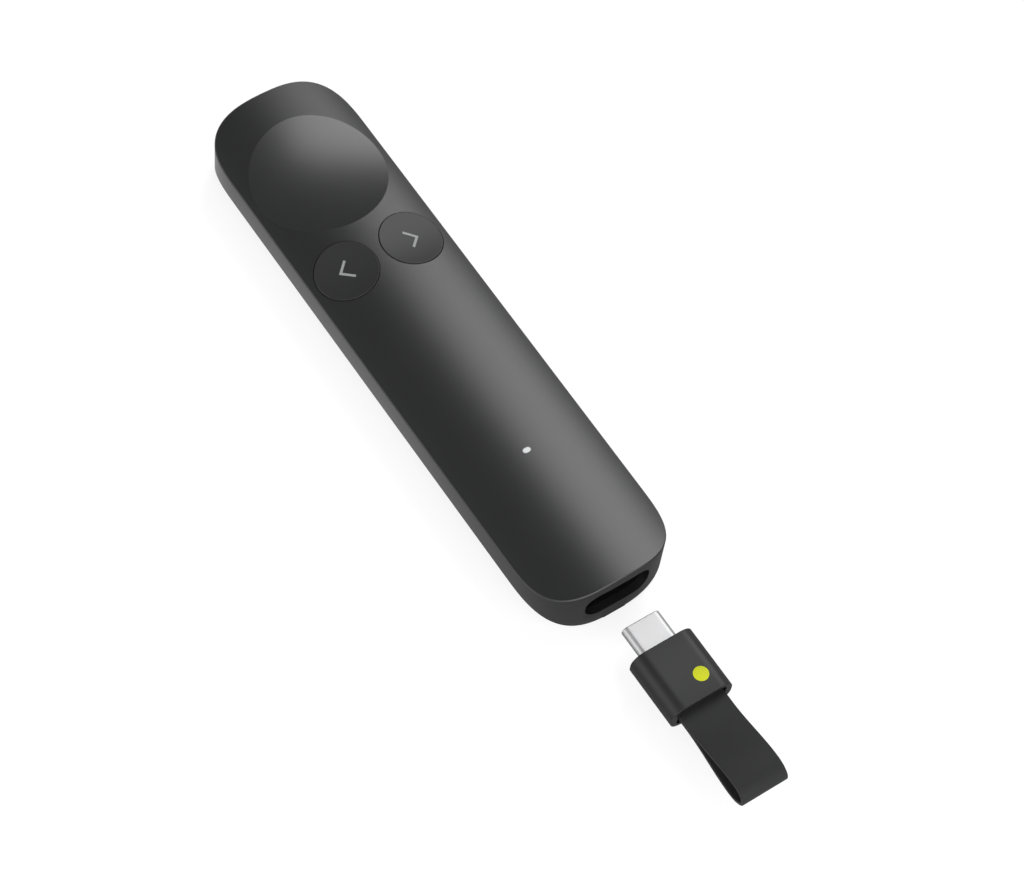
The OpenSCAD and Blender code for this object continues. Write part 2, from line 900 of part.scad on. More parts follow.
// Places the loop's outline, drawn as distance and height, behind the housing
module strap_loop() {
    color([0.2, 0.2, 0.2]) translate([strap_w / 2, y_rear, z_bay]) rotate([90, 0, -90]) difference() {
        union() {
            linear_extrude(strap_w) loop_outline(1, [[-eye_back, strap_t]]);
            translate([-eye_back, 0, 0]) cylinder(r = eye_r, h = strap_w);
        }
        translate([0, 0, -over]) linear_extrude(strap_w + 2 * over) loop_outline(-1, []);
        translate([-eye_back, 0, -over]) cylinder(r = pin_r + fit, h = strap_w + 2 * over);
    }
}

module strap_pin() {
    color([0.7, 0.7, 0.72]) translate([0, y_rear + eye_back, z_bay]) rotate([0, 90, 0]) {
        cylinder(r = pin_r, h = strap_w + 0.6, center = true);
    }
}

upper_shell();
belly_cover();
rest_strip();
cover_screws();
pointer_button();
pointer_plunger();
pointer_switch();
back_button();
back_plunger();
back_switch();
next_button();
next_plunger();
next_switch();
light_pipe();
status_led();
main_board();
processor_chip();
charger_chip();
motion_sensor();
radio_shield();
chip_antenna();
haptic_motor();
battery_cell();
battery_foam();
battery_cradle();
battery_lead();
battery_socket();
bay_sleeve();
port_shell();
port_tongue();
port_contacts();
receiver_housing();
receiver_nose();
plug_shell();
plug_insert();
plug_contacts();
receiver_board();
receiver_chip();
strap_loop();
strap_pin();
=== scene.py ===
# %% [markdown]
# # A presentation clicker and its plug-in receiver
#
# This lesson dresses a small desk gadget: a slim hand-held body with one large
# dished button, two small arrow buttons and a status light, and a receiver on a
# soft pull strap that has just left the bay in the body's tail. The mechanical
# model gives every piece its real size and place. Here the pieces that show get
# fine edges, exact curves and a finish, and a soft studio is set up round them.

# %% Setup
import math

import bmesh
import bpy
import numpy as np
from mathutils import Matrix, Vector


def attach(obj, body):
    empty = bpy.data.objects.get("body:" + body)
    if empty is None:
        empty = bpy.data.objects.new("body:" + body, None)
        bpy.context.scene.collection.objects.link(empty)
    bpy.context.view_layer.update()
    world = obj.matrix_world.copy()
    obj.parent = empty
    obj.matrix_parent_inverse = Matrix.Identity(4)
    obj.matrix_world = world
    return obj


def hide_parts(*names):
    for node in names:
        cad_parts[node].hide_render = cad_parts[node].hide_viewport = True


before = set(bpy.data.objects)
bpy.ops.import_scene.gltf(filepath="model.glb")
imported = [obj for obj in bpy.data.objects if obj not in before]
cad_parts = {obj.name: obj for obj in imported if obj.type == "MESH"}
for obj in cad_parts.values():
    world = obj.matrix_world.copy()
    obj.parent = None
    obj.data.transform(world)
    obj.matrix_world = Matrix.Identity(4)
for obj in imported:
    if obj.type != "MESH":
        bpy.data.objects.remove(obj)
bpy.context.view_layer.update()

# %% [markdown]
# ## The camera
#
# The photograph looks down on the clicker from beyond its left tail corner. A
# camera can be placed by eye, or worked out from points whose real places are
# known. Here it was worked out from the outlines of body, buttons and plug, so
# its position and its three axes are simply written down, in millimetres. The
# lens is long, so the body hardly tapers.

# %% Camera
MM = 0.001


def add_object(name, data):
    """Puts a new object in the scene, at the origin."""
    thing = bpy.data.objects.new(name, data)
    bpy.context.scene.collection.objects.link(thing)
    return thing


camera_data = bpy.data.cameras.new("camera")
camera_data.lens = 113.37
camera_data.sensor_width = 36
camera_data.clip_start = 0.05
camera_data.clip_end = 50
camera = add_object("camera", camera_data)
camera_right = Vector((0.82967, -0.55288, 0.07730))
camera_up = Vector((0.44915, 0.74332, 0.49572))
camera_back = Vector((-0.33154, -0.37656, 0.86503))
camera_place = Vector((-199.51, -253.59, 530.52)) * MM
turn = Matrix((camera_right, camera_up, camera_back)).transposed()
camera.matrix_world = Matrix.Translation(camera_place) @ turn.to_4x4()
bpy.context.scene.camera = camera
print("camera", round(camera_place.length, 3), "m from the rest strip")

# %% [markdown]
# ## Node helpers
#
# Every finish below is a small node tree, and a few helpers keep them short. One
# adds a node and sets its inputs, and one starts a material with a Principled
# shader. Three more let a pattern steer the shader: its colour, its roughness and
# its relief. Numbers that hold all over a surface are set straight on the
# shader's sockets; only what varies from place to place is wired up.

# %% Node helpers
def add_node(tree, kind, inputs=None, **settings):
    node = tree.nodes.new(kind)
    for name, value in settings.items():
        setattr(node, name, value)
    for name, value in (inputs or {}).items():
        if isinstance(value, bpy.types.NodeSocket):
            tree.links.new(value, node.inputs[name])
        else:
            node.inputs[name].default_value = value
    return node


def start_material(name, **sockets):
    material = bpy.data.materials.new(name)
    material.use_nodes = True
    tree = material.node_tree
    shader = tree.nodes["Principled BSDF"]
    for socket, value in sockets.items():
        shader.inputs[socket.replace("_", " ")].default_value = value
    place = add_node(tree, "ShaderNodeTexCoord").outputs["Object"]
    return material, tree, shader, place


# %% Patterns that steer a shader
def tint(tree, shader, pattern, low, high):
    """Where the pattern is low, the colour is the first one, and where it is high, the second."""
    tone = add_node(tree, "ShaderNodeMixRGB", {"Fac": pattern, "Color1": [*low, 1], "Color2": [*high, 1]})
    tree.links.new(tone.outputs["Color"], shader.inputs["Base Color"])
    return tone


def shades(colour, darker, lighter):
    return [c * darker for c in colour], [min(1, c * lighter) for c in colour]


def roughen(tree, shader, pattern, low, high):
    rough = add_node(tree, "ShaderNodeMapRange", {"Value": pattern, "To Min": low, "To Max": high})
    tree.links.new(rough.outputs["Result"], shader.inputs["Roughness"])


def emboss(tree, shader, pattern, strength, depth):
    relief = add_node(tree, "ShaderNodeBump", {"Height": pattern, "Strength": strength, "Distance": depth})
    tree.links.new(relief.outputs["Normal"], shader.inputs["Normal"])


# %% [markdown]
# ## Moulded plastic
#
# The body, buttons and receiver are injection moulded. Such a surface is never
# one flat colour: the pigment clouds a little, the mould's fine spark texture
# breaks up the gloss, and the gloss itself wanders. All of it could be painted
# in an image; two noises on Object coordinates give the same at any size, and
# stay put on the piece when it moves. The grain is given in millimetres. The
# pointer button is polished more evenly, so its gloss wanders less.

# %% Moulded plastic
def moulded(name, colour, gloss, wander=0.04, grain=0.12, bump=0.05, cloud=0.12, **sockets):
    material, tree, shader, place = start_material(name, **sockets)
    clouds = add_node(tree, "ShaderNodeTexNoise", {"Vector": place, "Scale": 90.0, "Detail": 3.0})
    tint(tree, shader, clouds.outputs["Fac"], *shades(colour, 1 - cloud, 1 + cloud))
    speck = add_node(tree, "ShaderNodeTexNoise",
                     {"Vector": place, "Scale": 1 / (grain * MM) / 2, "Detail": 2.0}).outputs["Fac"]
    roughen(tree, shader, speck, gloss - wander, gloss + wander)
    emboss(tree, shader, speck, bump, grain * MM / 4)
    return material


DARK = (0.0072, 0.0075, 0.0075)
body_satin = moulded("body_satin", DARK, 0.36)
button_satin = moulded("button_satin", (0.0120, 0.0123, 0.0123), 0.28, wander=0.01)
key_matte = moulded("key_matte", (0.0100, 0.0102, 0.0102), 0.47, bump=0.12,
                    Specular_IOR_Level=0.37)
belly_matte = moulded("belly_matte", (0.0090, 0.0092, 0.0092), 0.55, bump=0.15)
case_satin = moulded("case_satin", (0.0108, 0.0110, 0.0110), 0.45, bump=0.08,
                     Specular_IOR_Level=0.3)
sleeve_black = moulded("sleeve_black", (0.0018, 0.0018, 0.0018), 0.7, bump=0.15,
                       Specular_IOR_Level=0.1)
part_black = moulded("part_black", (0.0080, 0.0080, 0.0082), 0.5, bump=0.12)
part_grey = moulded("part_grey", (0.0700, 0.0700, 0.0720), 0.55, bump=0.12)
part_cream = moulded("part_cream", (0.620, 0.560, 0.420), 0.45, bump=0.08)
plastics = (body_satin, button_satin, key_matte, belly_matte, case_satin, sleeve_black,
            part_black, part_grey, part_cream)
print("plastics:", [m.name for m in plastics])

# %% [markdown]
# ## Rubber
#
# The rest strip and the pull strap are soft: dull, with a skin of tiny pores.
# A Voronoi pattern makes the pores, and a little sheen stands for the fine dust
# that such a surface always holds. A plain rough plastic would look too hard.

# %% Rubber
def rubber(name, colour, gloss, pore=0.22, depth=0.2):
    material, tree, shader, place = start_material(
        name, Specular_IOR_Level=0.18, Sheen_Weight=0.05, Sheen_Roughness=0.5)
    clouds = add_node(tree, "ShaderNodeTexNoise", {"Vector": place, "Scale": 160.0, "Detail": 4.0})
    tint(tree, shader, clouds.outputs["Fac"], *shades(colour, 0.85, 1.15))
    pores = add_node(tree, "ShaderNodeTexVoronoi",
                     {"Vector": place, "Scale": 1 / (pore * MM)}).outputs["Distance"]
    roughen(tree, shader, pores, gloss + 0.05, gloss - 0.05)
    emboss(tree, shader, pores, depth, pore * MM / 6)
    return material


strap_rubber = rubber("strap_rubber", (0.0140, 0.0143, 0.0143), 0.60)
strip_rubber = rubber("strip_rubber", (0.0045, 0.0045, 0.0045), 0.7)
foam_black = rubber("foam_black", (0.0120, 0.0120, 0.0120), 0.85, pore=0.5, depth=0.8)
wire_red = rubber("wire_red", (0.300, 0.0150, 0.0120), 0.4, pore=0.3, depth=0.05)
rubbers = (strap_rubber, strip_rubber, foam_black, wire_red)
print("rubbers:", [m.name for m in rubbers])

# %% [markdown]
# ## Metal
#
# The plug is drawn from thin stainless sheet: bright, but not a mirror, with
# faint draw lines along its length. A noise that is stretched along the body
# makes the lines; it wanders in colour, roughness and relief together. The same
# recipe serves screws, shields and gold contacts with other colours.

# %% Metal
def drawn_metal(name, colour, gloss, lines=(4000.0, 120.0, 4000.0), depth=0.06):
    material, tree, shader, place = start_material(name, Metallic=1.0)
    stretch = add_node(tree, "ShaderNodeMapping", {"Vector": place, "Scale": lines}).outputs["Vector"]
    streaks = add_node(tree, "ShaderNodeTexNoise",
                       {"Vector": stretch, "Scale": 1.0, "Detail": 3.0}).outputs["Fac"]
    tint(tree, shader, streaks, *shades(colour, 0.94, 1.05))
    roughen(tree, shader, streaks, gloss - 0.05, gloss + 0.05)
    emboss(tree, shader, streaks, depth, 0.01 * MM)
    return material


plug_steel = drawn_metal("plug_steel", (0.455, 0.455, 0.46), 0.50)
port_steel = drawn_metal("port_steel", (0.62, 0.62, 0.63), 0.3)
screw_steel = drawn_metal("screw_steel", (0.55, 0.55, 0.57), 0.35, lines=(900.0, 900.0, 900.0))
shield_tin = drawn_metal("shield_tin", (0.66, 0.67, 0.70), 0.4, lines=(2500.0, 200.0, 200.0))
pouch_foil = drawn_metal("pouch_foil", (0.58, 0.60, 0.64), 0.45, lines=(300.0, 300.0, 300.0), depth=0.4)
contact_gold = drawn_metal("contact_gold", (0.86, 0.62, 0.24), 0.28)
metals = (plug_steel, port_steel, screw_steel, shield_tin, pouch_foil, contact_gold)
print("metals:", [m.name for m in metals])

# %% [markdown]
# ## Printed marks, the light and the circuit board
#
# The arrows on the small buttons are thin pad-printed ink, and the receiver has
# a lime dot. Ink lies more evenly than plastic, and the aerial's ceramic is more
# even too, so they get the moulded recipe with fainter clouds. The status light
# is a clear pipe lit from below: an emitter, darkened towards its rim by painted
# shade. The board is green solder mask with copper tracks showing through, drawn
# by a brick pattern.

# %% Ink, light and board
ink_grey = moulded("ink_grey", (0.200, 0.203, 0.203), 0.5, cloud=0.08)
ink_lime = moulded("ink_lime", (0.440, 0.468, 0.0105), 0.6, cloud=0.05, Specular_IOR_Level=0.2)
ceramic_white = moulded("ceramic_white", (0.74, 0.73, 0.70), 0.35, cloud=0.05)
# Painted shade: the share of its glow that the light keeps at its rim, and how wide that darkened band is
PAINTED_RIM_SHADE, SHADED_RIM_WIDTH = 0.3, 0.25


def lit(name, colour, strength, middle, half):
    """An emitter, dimmed by painted shade over the outer part of its outline. Its middle and half size are
    in mm.
    """
    material, tree, shader, place = start_material(name, Roughness=0.2)
    scale = [1 / (h * MM) for h in half] + [0.0]
    offset = [-m * k * MM for m, k in zip(middle, scale)] + [0.0]
    local = add_node(tree, "ShaderNodeMapping", {"Vector": place, "Location": offset, "Scale": scale})
    depth = add_node(tree, "ShaderNodeTexGradient", {"Vector": local.outputs["Vector"]},
                     gradient_type="SPHERICAL")
    fade = add_node(tree, "ShaderNodeMapRange", {"Value": depth.outputs["Fac"], "From Max": SHADED_RIM_WIDTH},
                    interpolation_type="SMOOTHSTEP")
    tone = tint(tree, shader, fade.outputs["Result"], [c * PAINTED_RIM_SHADE for c in colour], colour)
    tree.links.new(tone.outputs["Color"], shader.inputs["Emission Color"])
    shader.inputs["Emission Strength"].default_value = strength
    return material


def solder_mask(name, mask, copper):
    material, tree, shader, place = start_material(name, Coat_Weight=0.4, Coat_Roughness=0.2)
    tracks = add_node(tree, "ShaderNodeTexBrick",
                      {"Vector": place, "Scale": 420.0, "Color1": [*mask, 1],
                       "Color2": [*(c * 0.8 for c in mask), 1], "Mortar": [*copper, 1], "Mortar Size": 0.04})
    tree.links.new(tracks.outputs["Color"], shader.inputs["Base Color"])
    roughen(tree, shader, tracks.outputs["Fac"], 0.45, 0.3)
    return material


pipe_lit = lit("pipe_lit", (0.295, 0.305, 0.308), 0.5, (0.0, -31.4), (0.88, 0.59))
led_lit = lit("led_lit", (0.95, 0.95, 0.85), 0.6, (0.0, -31.4), (1.2, 0.8))
board_green = solder_mask("board_green", (0.012, 0.085, 0.032), (0.06, 0.19, 0.05))
others = (ink_grey, ink_lime, ceramic_white, pipe_lit, led_lit, board_green)
print("others:", [m.name for m in others])

# %% [markdown]
# ## Dressing the pieces that stay as they are
#
# Most inner pieces already have their right shape, and nobody sees them while
# the body is closed. They keep their exact solids and only take a finish.

# %% Finishes on kept nodes
def set_finish(piece, material):
    piece.data.materials.clear()
    piece.data.materials.append(material)


def dress(names, material):
    for name in names.split():
        set_finish(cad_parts[name], material)


dress("upper_shell pointer_button", body_satin)
dress("belly_cover", belly_matte)
dress("back_button next_button", key_matte)
dress("rest_strip", strip_rubber)
dress("strap_loop", strap_rubber)
dress("receiver_housing receiver_nose", case_satin)
dress("bay_sleeve", sleeve_black)
dress("plug_shell", plug_steel)
dress("port_shell strap_pin", port_steel)
dress("cover_screws", screw_steel)
dress("port_tongue plug_insert processor_chip charger_chip motion_sensor receiver_chip", part_black)
dress("pointer_switch back_switch next_switch", part_black)
dress("pointer_plunger back_plunger next_plunger battery_socket", part_cream)
dress("battery_cradle", part_grey)
dress("battery_foam", foam_black)
dress("battery_cell", pouch_foil)
dress("battery_lead", wire_red)
dress("radio_shield haptic_motor", shield_tin)
dress("chip_antenna", ceramic_white)
dress("port_contacts plug_contacts", contact_gold)
dress("main_board receiver_board", board_green)
dress("status_led", led_lit)
dress("light_pipe", pipe_lit)
print("dressed nodes:", sum(bool(node.data.materials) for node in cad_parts.values()))

# %% [markdown]
# ## Sizes
#
# The visible pieces are rebuilt with fine edges, so the body's driving sizes are
# repeated here in millimetres, with the origin under the middle of the belly.
# The crown and the belly are long cylinders, and the outline's two ends are
# superellipses: rounder than a square, squarer than an ellipse.

# %% Sizes
BODY_W, BODY_L = 30.0, 125.2
Z_BELLY, Z_EDGE, Z_TOP = 0.4, 10.8, 13.8
BELLY_H, CROWN_H = 4.8, 3.0
CROWN_R = ((BODY_W / 2) ** 2 + CROWN_H**2) / (2 * CROWN_H)
BELLY_R = ((BODY_W / 2) ** 2 + BELLY_H**2) / (2 * BELLY_H)
Y_TAIL, Y_TIP = -BODY_L / 2, BODY_L / 2
TIP_L, TIP_POWER = 15.9, 3.3
TAIL_L, TAIL_POWER = 15.0, 3.2
WALL_T, TOP_T, RIM_T, COVER_T = 1.6, 1.6, 0.9, 1.2
Z_BAY = Z_EDGE - 3.2


def crown_z(x, inset=0.0):
    return Z_TOP - CROWN_R + np.sqrt((CROWN_R - inset) ** 2 - x**2)


def belly_z(x, inset=0.0):
    return Z_BELLY + BELLY_R - np.sqrt((BELLY_R - inset) ** 2 - x**2)


print("crown radius", CROWN_R, "belly radius", round(BELLY_R, 2))

# %% [markdown]
# ## A builder for skins
#
# Smooth housings are best built from rings: each ring is an outline with a
# height, neighbouring rings are joined by a band of quads, and a row of rings
# close together makes a rounded edge. This gives full control of every edge,
# where a Bevel modifier would stumble over the small faces of a cut solid.

# %% Skin builder
class Skin:
    def __init__(self):
        self.points, self.faces = [], []

    def add(self, points):
        first = len(self.points)
        self.points.extend(tuple(float(c) for c in p) for p in points)
        return list(range(first, len(self.points)))

    def band(self, one, two):
        for i in range(len(one)):
            j = (i + 1) % len(one)
            self.faces.append((one[i], one[j], two[j], two[i]))

    def loft(self, rings):
        made = [self.add(ring) for ring in rings]
        for one, two in zip(made, made[1:]):
            self.band(one, two)
        return made

    def fan(self, ring, centre):
        hub = self.add([centre])[0]
        for i in range(len(ring)):
            self.faces.append((ring[i], ring[(i + 1) % len(ring)], hub))


# %% From skin to piece
def weld(mesh):
    """Joins points that share one place, and turns every face outwards."""
    work = bmesh.new()
    work.from_mesh(mesh)
    bmesh.ops.remove_doubles(work, verts=work.verts, dist=1e-7)
    bmesh.ops.recalc_face_normals(work, faces=work.faces)
    work.to_mesh(mesh)
    work.free()


def as_object(name, mesh, sharp=32.0):
    """Shades a mesh smooth, but for edges sharper than this many degrees."""
    mesh.shade_smooth()
    mesh.set_sharp_from_angle(angle=math.radians(sharp))
    return add_object(name, mesh)


def finish_mesh(name, skin):
    mesh = bpy.data.meshes.new(name)
    mesh.from_pydata([Vector(p) * MM for p in skin.points], [], skin.faces)
    weld(mesh)
    return as_object(name, mesh)


def capped(name, rings):
    """A piece whose first and last ring are closed by a flat face."""
    skin = Skin()
    made = skin.loft(rings)
    skin.faces += [made[0], made[-1]]
    return finish_mesh(name, skin)


def tube(name, rings):
    """A piece whose last ring is joined to its first."""
    skin = Skin()
    made = skin.loft(rings)
    skin.band(made[-1], made[0])
    return finish_mesh(name, skin)


def round_steps(radius, steps=5):
    """Pairs of inset and drop that run round an edge, from its top to its side."""
    turns = np.linspace(0, math.pi / 2, steps)
    return [(radius * (1 - math.sin(t)), radius * (1 - math.cos(t))) for t in turns]


# %% [markdown]
# ## Cutting
#
# Holes for buttons, light and bay are cut with Boolean modifiers. A cutter is a
# closed skin of its own. Once the result is a plain mesh, the modifier and the
# cutters go, so that nothing live is left on the piece. The outlines have an
# extra point on each straight side, close to where a curve ends: it keeps the
# curve's smoothed shading off the flat, which would otherwise look domed.

# %% Outlines
NEAR_CURVE = 0.9
SQUARE = ((-1, -1), (1, -1), (1, 1), (-1, 1))


def rectangle(width, height):
    return [(x * width / 2, y * height / 2) for x, y in SQUARE]


def stadium(width, height, count=24):
    """A flat outline with two round ends, counter-clockwise."""
    side = (width - height) / 2
    turns = np.linspace(-math.pi / 2, math.pi / 2, count)
    right = [(side + height / 2 * math.cos(t), height / 2 * math.sin(t)) for t in turns]
    right = [(side * NEAR_CURVE, -height / 2), *right, (side * NEAR_CURVE, height / 2)]
    return right + [(-x, -y) for x, y in right]


def circle(radius, count=192):
    return [(radius * math.cos(t), radius * math.sin(t))
            for t in np.linspace(0, 2 * math.pi, count, endpoint=False)]


def round_rect(width, length, radius, corner_steps=12):
    """An outline with four round corners, counter-clockwise from the right side."""
    points = []
    wide, long = width / 2 - radius, length / 2 - radius
    corners = ((1, 1, 0), (-1, 1, 90), (-1, -1, 180), (1, -1, 270))
    for sx, sy, start in corners:
        turns = np.radians(np.linspace(start, start + 90, corner_steps + 1))
        corner = [(sx * wide + radius * math.cos(t), sy * long + radius * math.sin(t)) for t in turns]
        beside = [(sx * (wide + radius), sy * long * NEAR_CURVE),
                  (sx * wide * NEAR_CURVE, sy * (long + radius))]
        before, after = beside if sx == sy else beside[::-1]
        points += [before, *corner, after]
    return points


# %% Cutting
OVER = 2.0  # how far a cutter stands out of the piece that it cuts


def upright(outline, x, y, z_low, z_high):
    return capped("cutter", [[(x + u, y + v, z) for u, v in outline] for z in (z_low, z_high)])


def lying(outline, y_low, y_high, z):
    return capped("cutter", [[(u, y, z + v) for u, v in outline] for y in (y_low, y_high)])


def solved_mesh(piece):
    """What the piece's modifiers make of it, as a plain mesh."""
    solved = piece.evaluated_get(bpy.context.evaluated_depsgraph_get())
    return bpy.data.meshes.new_from_object(solved)


def combine(piece, tools, operation="DIFFERENCE", sharp=32.0):
    for tool in tools:
        change = piece.modifiers.new("combine", "BOOLEAN")
        change.operation = operation
        change.object = tool
        change.solver = "EXACT"
    mesh = solved_mesh(piece)
    name = piece.name
    for old in [piece, *tools]:
        bpy.data.objects.remove(old)
    return as_object(name, mesh, sharp)


# %% [markdown]
# ## The body's outline
#
# Seen from above, the body is a straight-sided bar with two superellipse ends.
# The points run up the right side and down the left, so that a point and its
# mirror share one height along the body. A rounded cap can then be laid like
# the rungs of a ladder, each rung following the crown.

# %% Outline
ROUND_STEPS, SIDE_STEPS, RUNG_PARTS = 36, 30, 28


def end_points(half_width, length, power):
    turns = np.linspace(0, math.pi / 2, ROUND_STEPS + 1)
    return [(half_width * math.cos(t) ** (2 / power), length * math.sin(t) ** (2 / power)) for t in turns]


def body_outline(inset):
    half = BODY_W / 2 - inset
    tail = [(x, Y_TAIL + TAIL_L - y) for x, y in end_points(half, TAIL_L - inset, TAIL_POWER)][::-1]
    tip = [(x, Y_TIP - TIP_L + y) for x, y in end_points(half, TIP_L - inset, TIP_POWER)]
    tail[0], tip[-1] = (0.0, tail[0][1]), (0.0, tip[-1][1])
    between = np.linspace(Y_TAIL + TAIL_L, Y_TIP - TIP_L, SIDE_STEPS + 1)[1:-1]
    right = tail + [(half, y) for y in between] + tip
    return right + [(-x, y) for x, y in right[-2:0:-1]]


def body_ring(inset, height):
    return [(x, y, height(x)) for x, y in body_outline(inset)]


def ladder_cap(skin, ring, height):
    """Closes a ring of the body's outline with rungs that follow height(x)."""
    half = len(ring) // 2
    rungs = []
    for i in range(1, half):
        right, left = skin.points[ring[i]], skin.points[ring[-i]]
        places = np.linspace(left[0], right[0], RUNG_PARTS + 1)[1:-1]
        inner = skin.add([(x, right[1], height(x)) for x in places])
        rungs.append([ring[-i], *inner, ring[i]])
    for one, two in zip(rungs, rungs[1:]):
        for j in range(RUNG_PARTS):
            skin.faces.append((one[j], one[j + 1], two[j + 1], two[j]))
    for end, rung in ((ring[0], rungs[0]), (ring[half], rungs[-1])):
        for j in range(RUNG_PARTS):
            skin.faces.append((end, rung[j + 1], rung[j]))


print("outline points:", len(body_outline(0)))

# %% [markdown]
# ## The upper shell
#
# One moulding makes the crowned top and the side walls. On the real one the
# crown meets the wall at a crisp edge that catches a thin line of light, so the
# edge is broken by a flat bevel of nearly a fifth of a millimetre. The shell is a
# real cup with its wall thickness, open below, where the belly cover sits inside
# a thin rim. The posts for the screws are added first, and then all holes are
# cut in one go.

# %% Upper shell
TOP_EDGE, LOW_EDGE = 0.18, 0.06
POST_R, SCREW_R, SCREW_GAP, SCREW_IN = 1.9, 0.8, 0.03, 5.0
SCREW_Y = (Y_TAIL + 24.6, Y_TIP - 56.6, Y_TIP - 3.7)
PORT_H = 3.26
Z_BOARD = Z_BAY - PORT_H / 2
POINTER_Y, POINTER_R, POINTER_GAP = Y_TIP - 21.4, 13.54, 0.06
KEY_X, KEY_Y, KEY_R, KEY_GAP = 7.3, POINTER_Y - 21.8, 6.26, 0.12
LIGHT_Y, LIGHT_W, LIGHT_H, LIGHT_GAP = Y_TAIL + 31.2, 1.72, 1.14, 0.03
BAY_W, BAY_H, BAY_R = 14.2, 7.05, 3.05
STRIP_W, STRIP_SINK, STRIP_GAP = 5.2, 0.5, 0.03
Z_WELL = 8.4

shell = Skin()
top_rings = [body_ring(TOP_EDGE, crown_z), body_ring(0, lambda x: crown_z(x) - TOP_EDGE)]
low_rings = [body_ring(i, lambda x, d=d: belly_z(x) + d) for i, d in round_steps(LOW_EDGE, 4)][::-1]
rim_rings = [body_ring(RIM_T, belly_z), body_ring(RIM_T, lambda x: belly_z(x, COVER_T))]
wall_rings = [body_ring(WALL_T, lambda x: belly_z(x, COVER_T))]
wall_rings += [body_ring(WALL_T, lambda x: crown_z(x, TOP_T))]
shell_rings = shell.loft(top_rings + low_rings + rim_rings + wall_rings)
ladder_cap(shell, shell_rings[0], crown_z)
ladder_cap(shell, shell_rings[-1], lambda x: crown_z(x, TOP_T))
shell_skin = finish_mesh("shell_skin", shell)
posts = [upright(circle(POST_R, 48), 0, y, Z_BOARD, Z_TOP - TOP_T / 2) for y in SCREW_Y]
shell_skin = combine(shell_skin, posts, "UNION")
print("upper shell without its holes:", len(shell_skin.data.polygons), "faces")

# %% Holes in the upper shell
light_hole = stadium(LIGHT_W + 2 * LIGHT_GAP, LIGHT_H + 2 * LIGHT_GAP)
groove = rectangle(STRIP_W + 2 * STRIP_GAP, BODY_L + 2 * OVER)
holes = [upright(circle(POINTER_R + POINTER_GAP), 0, POINTER_Y, Z_WELL, Z_TOP + OVER)]
holes += [upright(circle(KEY_R + KEY_GAP), side * KEY_X, KEY_Y, Z_WELL, Z_TOP + OVER)
          for side in (-1, 1)]
holes.append(upright(light_hole, 0, LIGHT_Y, Z_EDGE - OVER, Z_TOP + OVER))
holes.append(lying(round_rect(BAY_W, BAY_H, BAY_R), Y_TAIL - OVER, Y_TAIL + TAIL_L / 2, Z_BAY))
holes += [upright(circle(SCREW_R + SCREW_GAP, 24), 0, y, Z_BOARD - OVER, Z_BOARD + SCREW_IN)
          for y in SCREW_Y]
holes.append(upright(groove, 0, 0, -OVER, Z_BELLY + STRIP_SINK))
shell_skin = combine(shell_skin, holes, sharp=20.0)
print("upper shell:", len(shell_skin.data.polygons), "faces,", len(holes), "holes")

# %% [markdown]
# ## Exact shading on the crown
#
# A satin surface shows every wobble of its normals. The cut holes leave long
# thin faces round them, whose averaged normals would shimmer. The crown is a
# cylinder, so its true normal is known everywhere, and is simply written in.
# A zero vector leaves a corner to the smoothed normal that it had.

# %% Crown normals
ON_CROWN = 0.004  # how far off the cylinder a corner of a crown face may lie


def write_crown_normals(piece):
    mesh = piece.data
    wanted = [Vector((0, 0, 0))] * len(mesh.loops)
    axis_z = (Z_TOP - CROWN_R) * MM
    exact = 0
    for face in mesh.polygons:
        places = [mesh.vertices[v].co for v in face.vertices]
        reach = [math.hypot(p.x, p.z - axis_z) for p in places]
        if max(abs(r - CROWN_R * MM) for r in reach) < ON_CROWN * MM and face.normal.z > 0.5:
            exact += 1
            for loop, p in zip(face.loop_indices, places):
                wanted[loop] = Vector((p.x, 0, p.z - axis_z)).normalized()
    mesh.normals_split_custom_set(wanted)
    return exact


print("faces with the crown's own normals:", write_crown_normals(shell_skin))

# %% [markdown]
# A piece is put in place with a few calls: it takes its finish, it rides on the
# body that carries it, and the node of the mechanical model that it stands for
# is hidden. One helper does all of it. Printed marks stand for no node; they
# only ride along.

# %% Placing a piece
def place_piece(piece, material, body, node=None):
    set_finish(piece, material)
    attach(piece, body)
    if node:
        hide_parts(node)
    print(piece.name, "on", body + ":", len(piece.data.polygons), "faces")


place_piece(shell_skin, body_satin, "body", "upper_shell")

# %% [markdown]
# ## The belly cover
#
# Under the body a curved cover closes the shell, set a tenth of a millimetre
# inside its rim, so that a fine shadow line runs all round. Three screws pass
# through it into the shell, hidden under a rubber strip that is let into the
# belly from end to end. The cover is built like the shell, from rings: what is
# cut away is the strip's groove and the screws' seats and holes.

# %% Belly cover
BOARD_T, HEAD_T = 0.8, 0.6
COVER_GAP, COVER_EDGE, SEAT_R, PASS_R = 0.1, 0.12, 1.43, 0.9
Z_UNDER = Z_BOARD - BOARD_T
Z_HEAD = Z_BELLY + STRIP_SINK + HEAD_T
cover = Skin()
cover_in = RIM_T + COVER_GAP
low_rings = [body_ring(cover_in + i, lambda x, d=d: belly_z(x) + d) for i, d in round_steps(COVER_EDGE, 4)]
high_ring = [body_ring(cover_in, lambda x: belly_z(x, COVER_T))]
cover_rings = cover.loft(low_rings + high_ring)
ladder_cap(cover, cover_rings[0], belly_z)
ladder_cap(cover, cover_rings[-1], lambda x: belly_z(x, COVER_T))
cover_skin = finish_mesh("cover_skin", cover)
posts = [upright(circle(POST_R, 48), 0, y, Z_BELLY + COVER_T / 2, Z_UNDER) for y in SCREW_Y]
cover_skin = combine(cover_skin, posts, "UNION")
holes = [upright(groove, 0, 0, -OVER, Z_BELLY + STRIP_SINK)]
holes += [upright(circle(SEAT_R, 32), 0, y, -OVER, Z_HEAD) for y in SCREW_Y]
holes += [upright(circle(PASS_R, 32), 0, y, 0, Z_UNDER + OVER) for y in SCREW_Y]
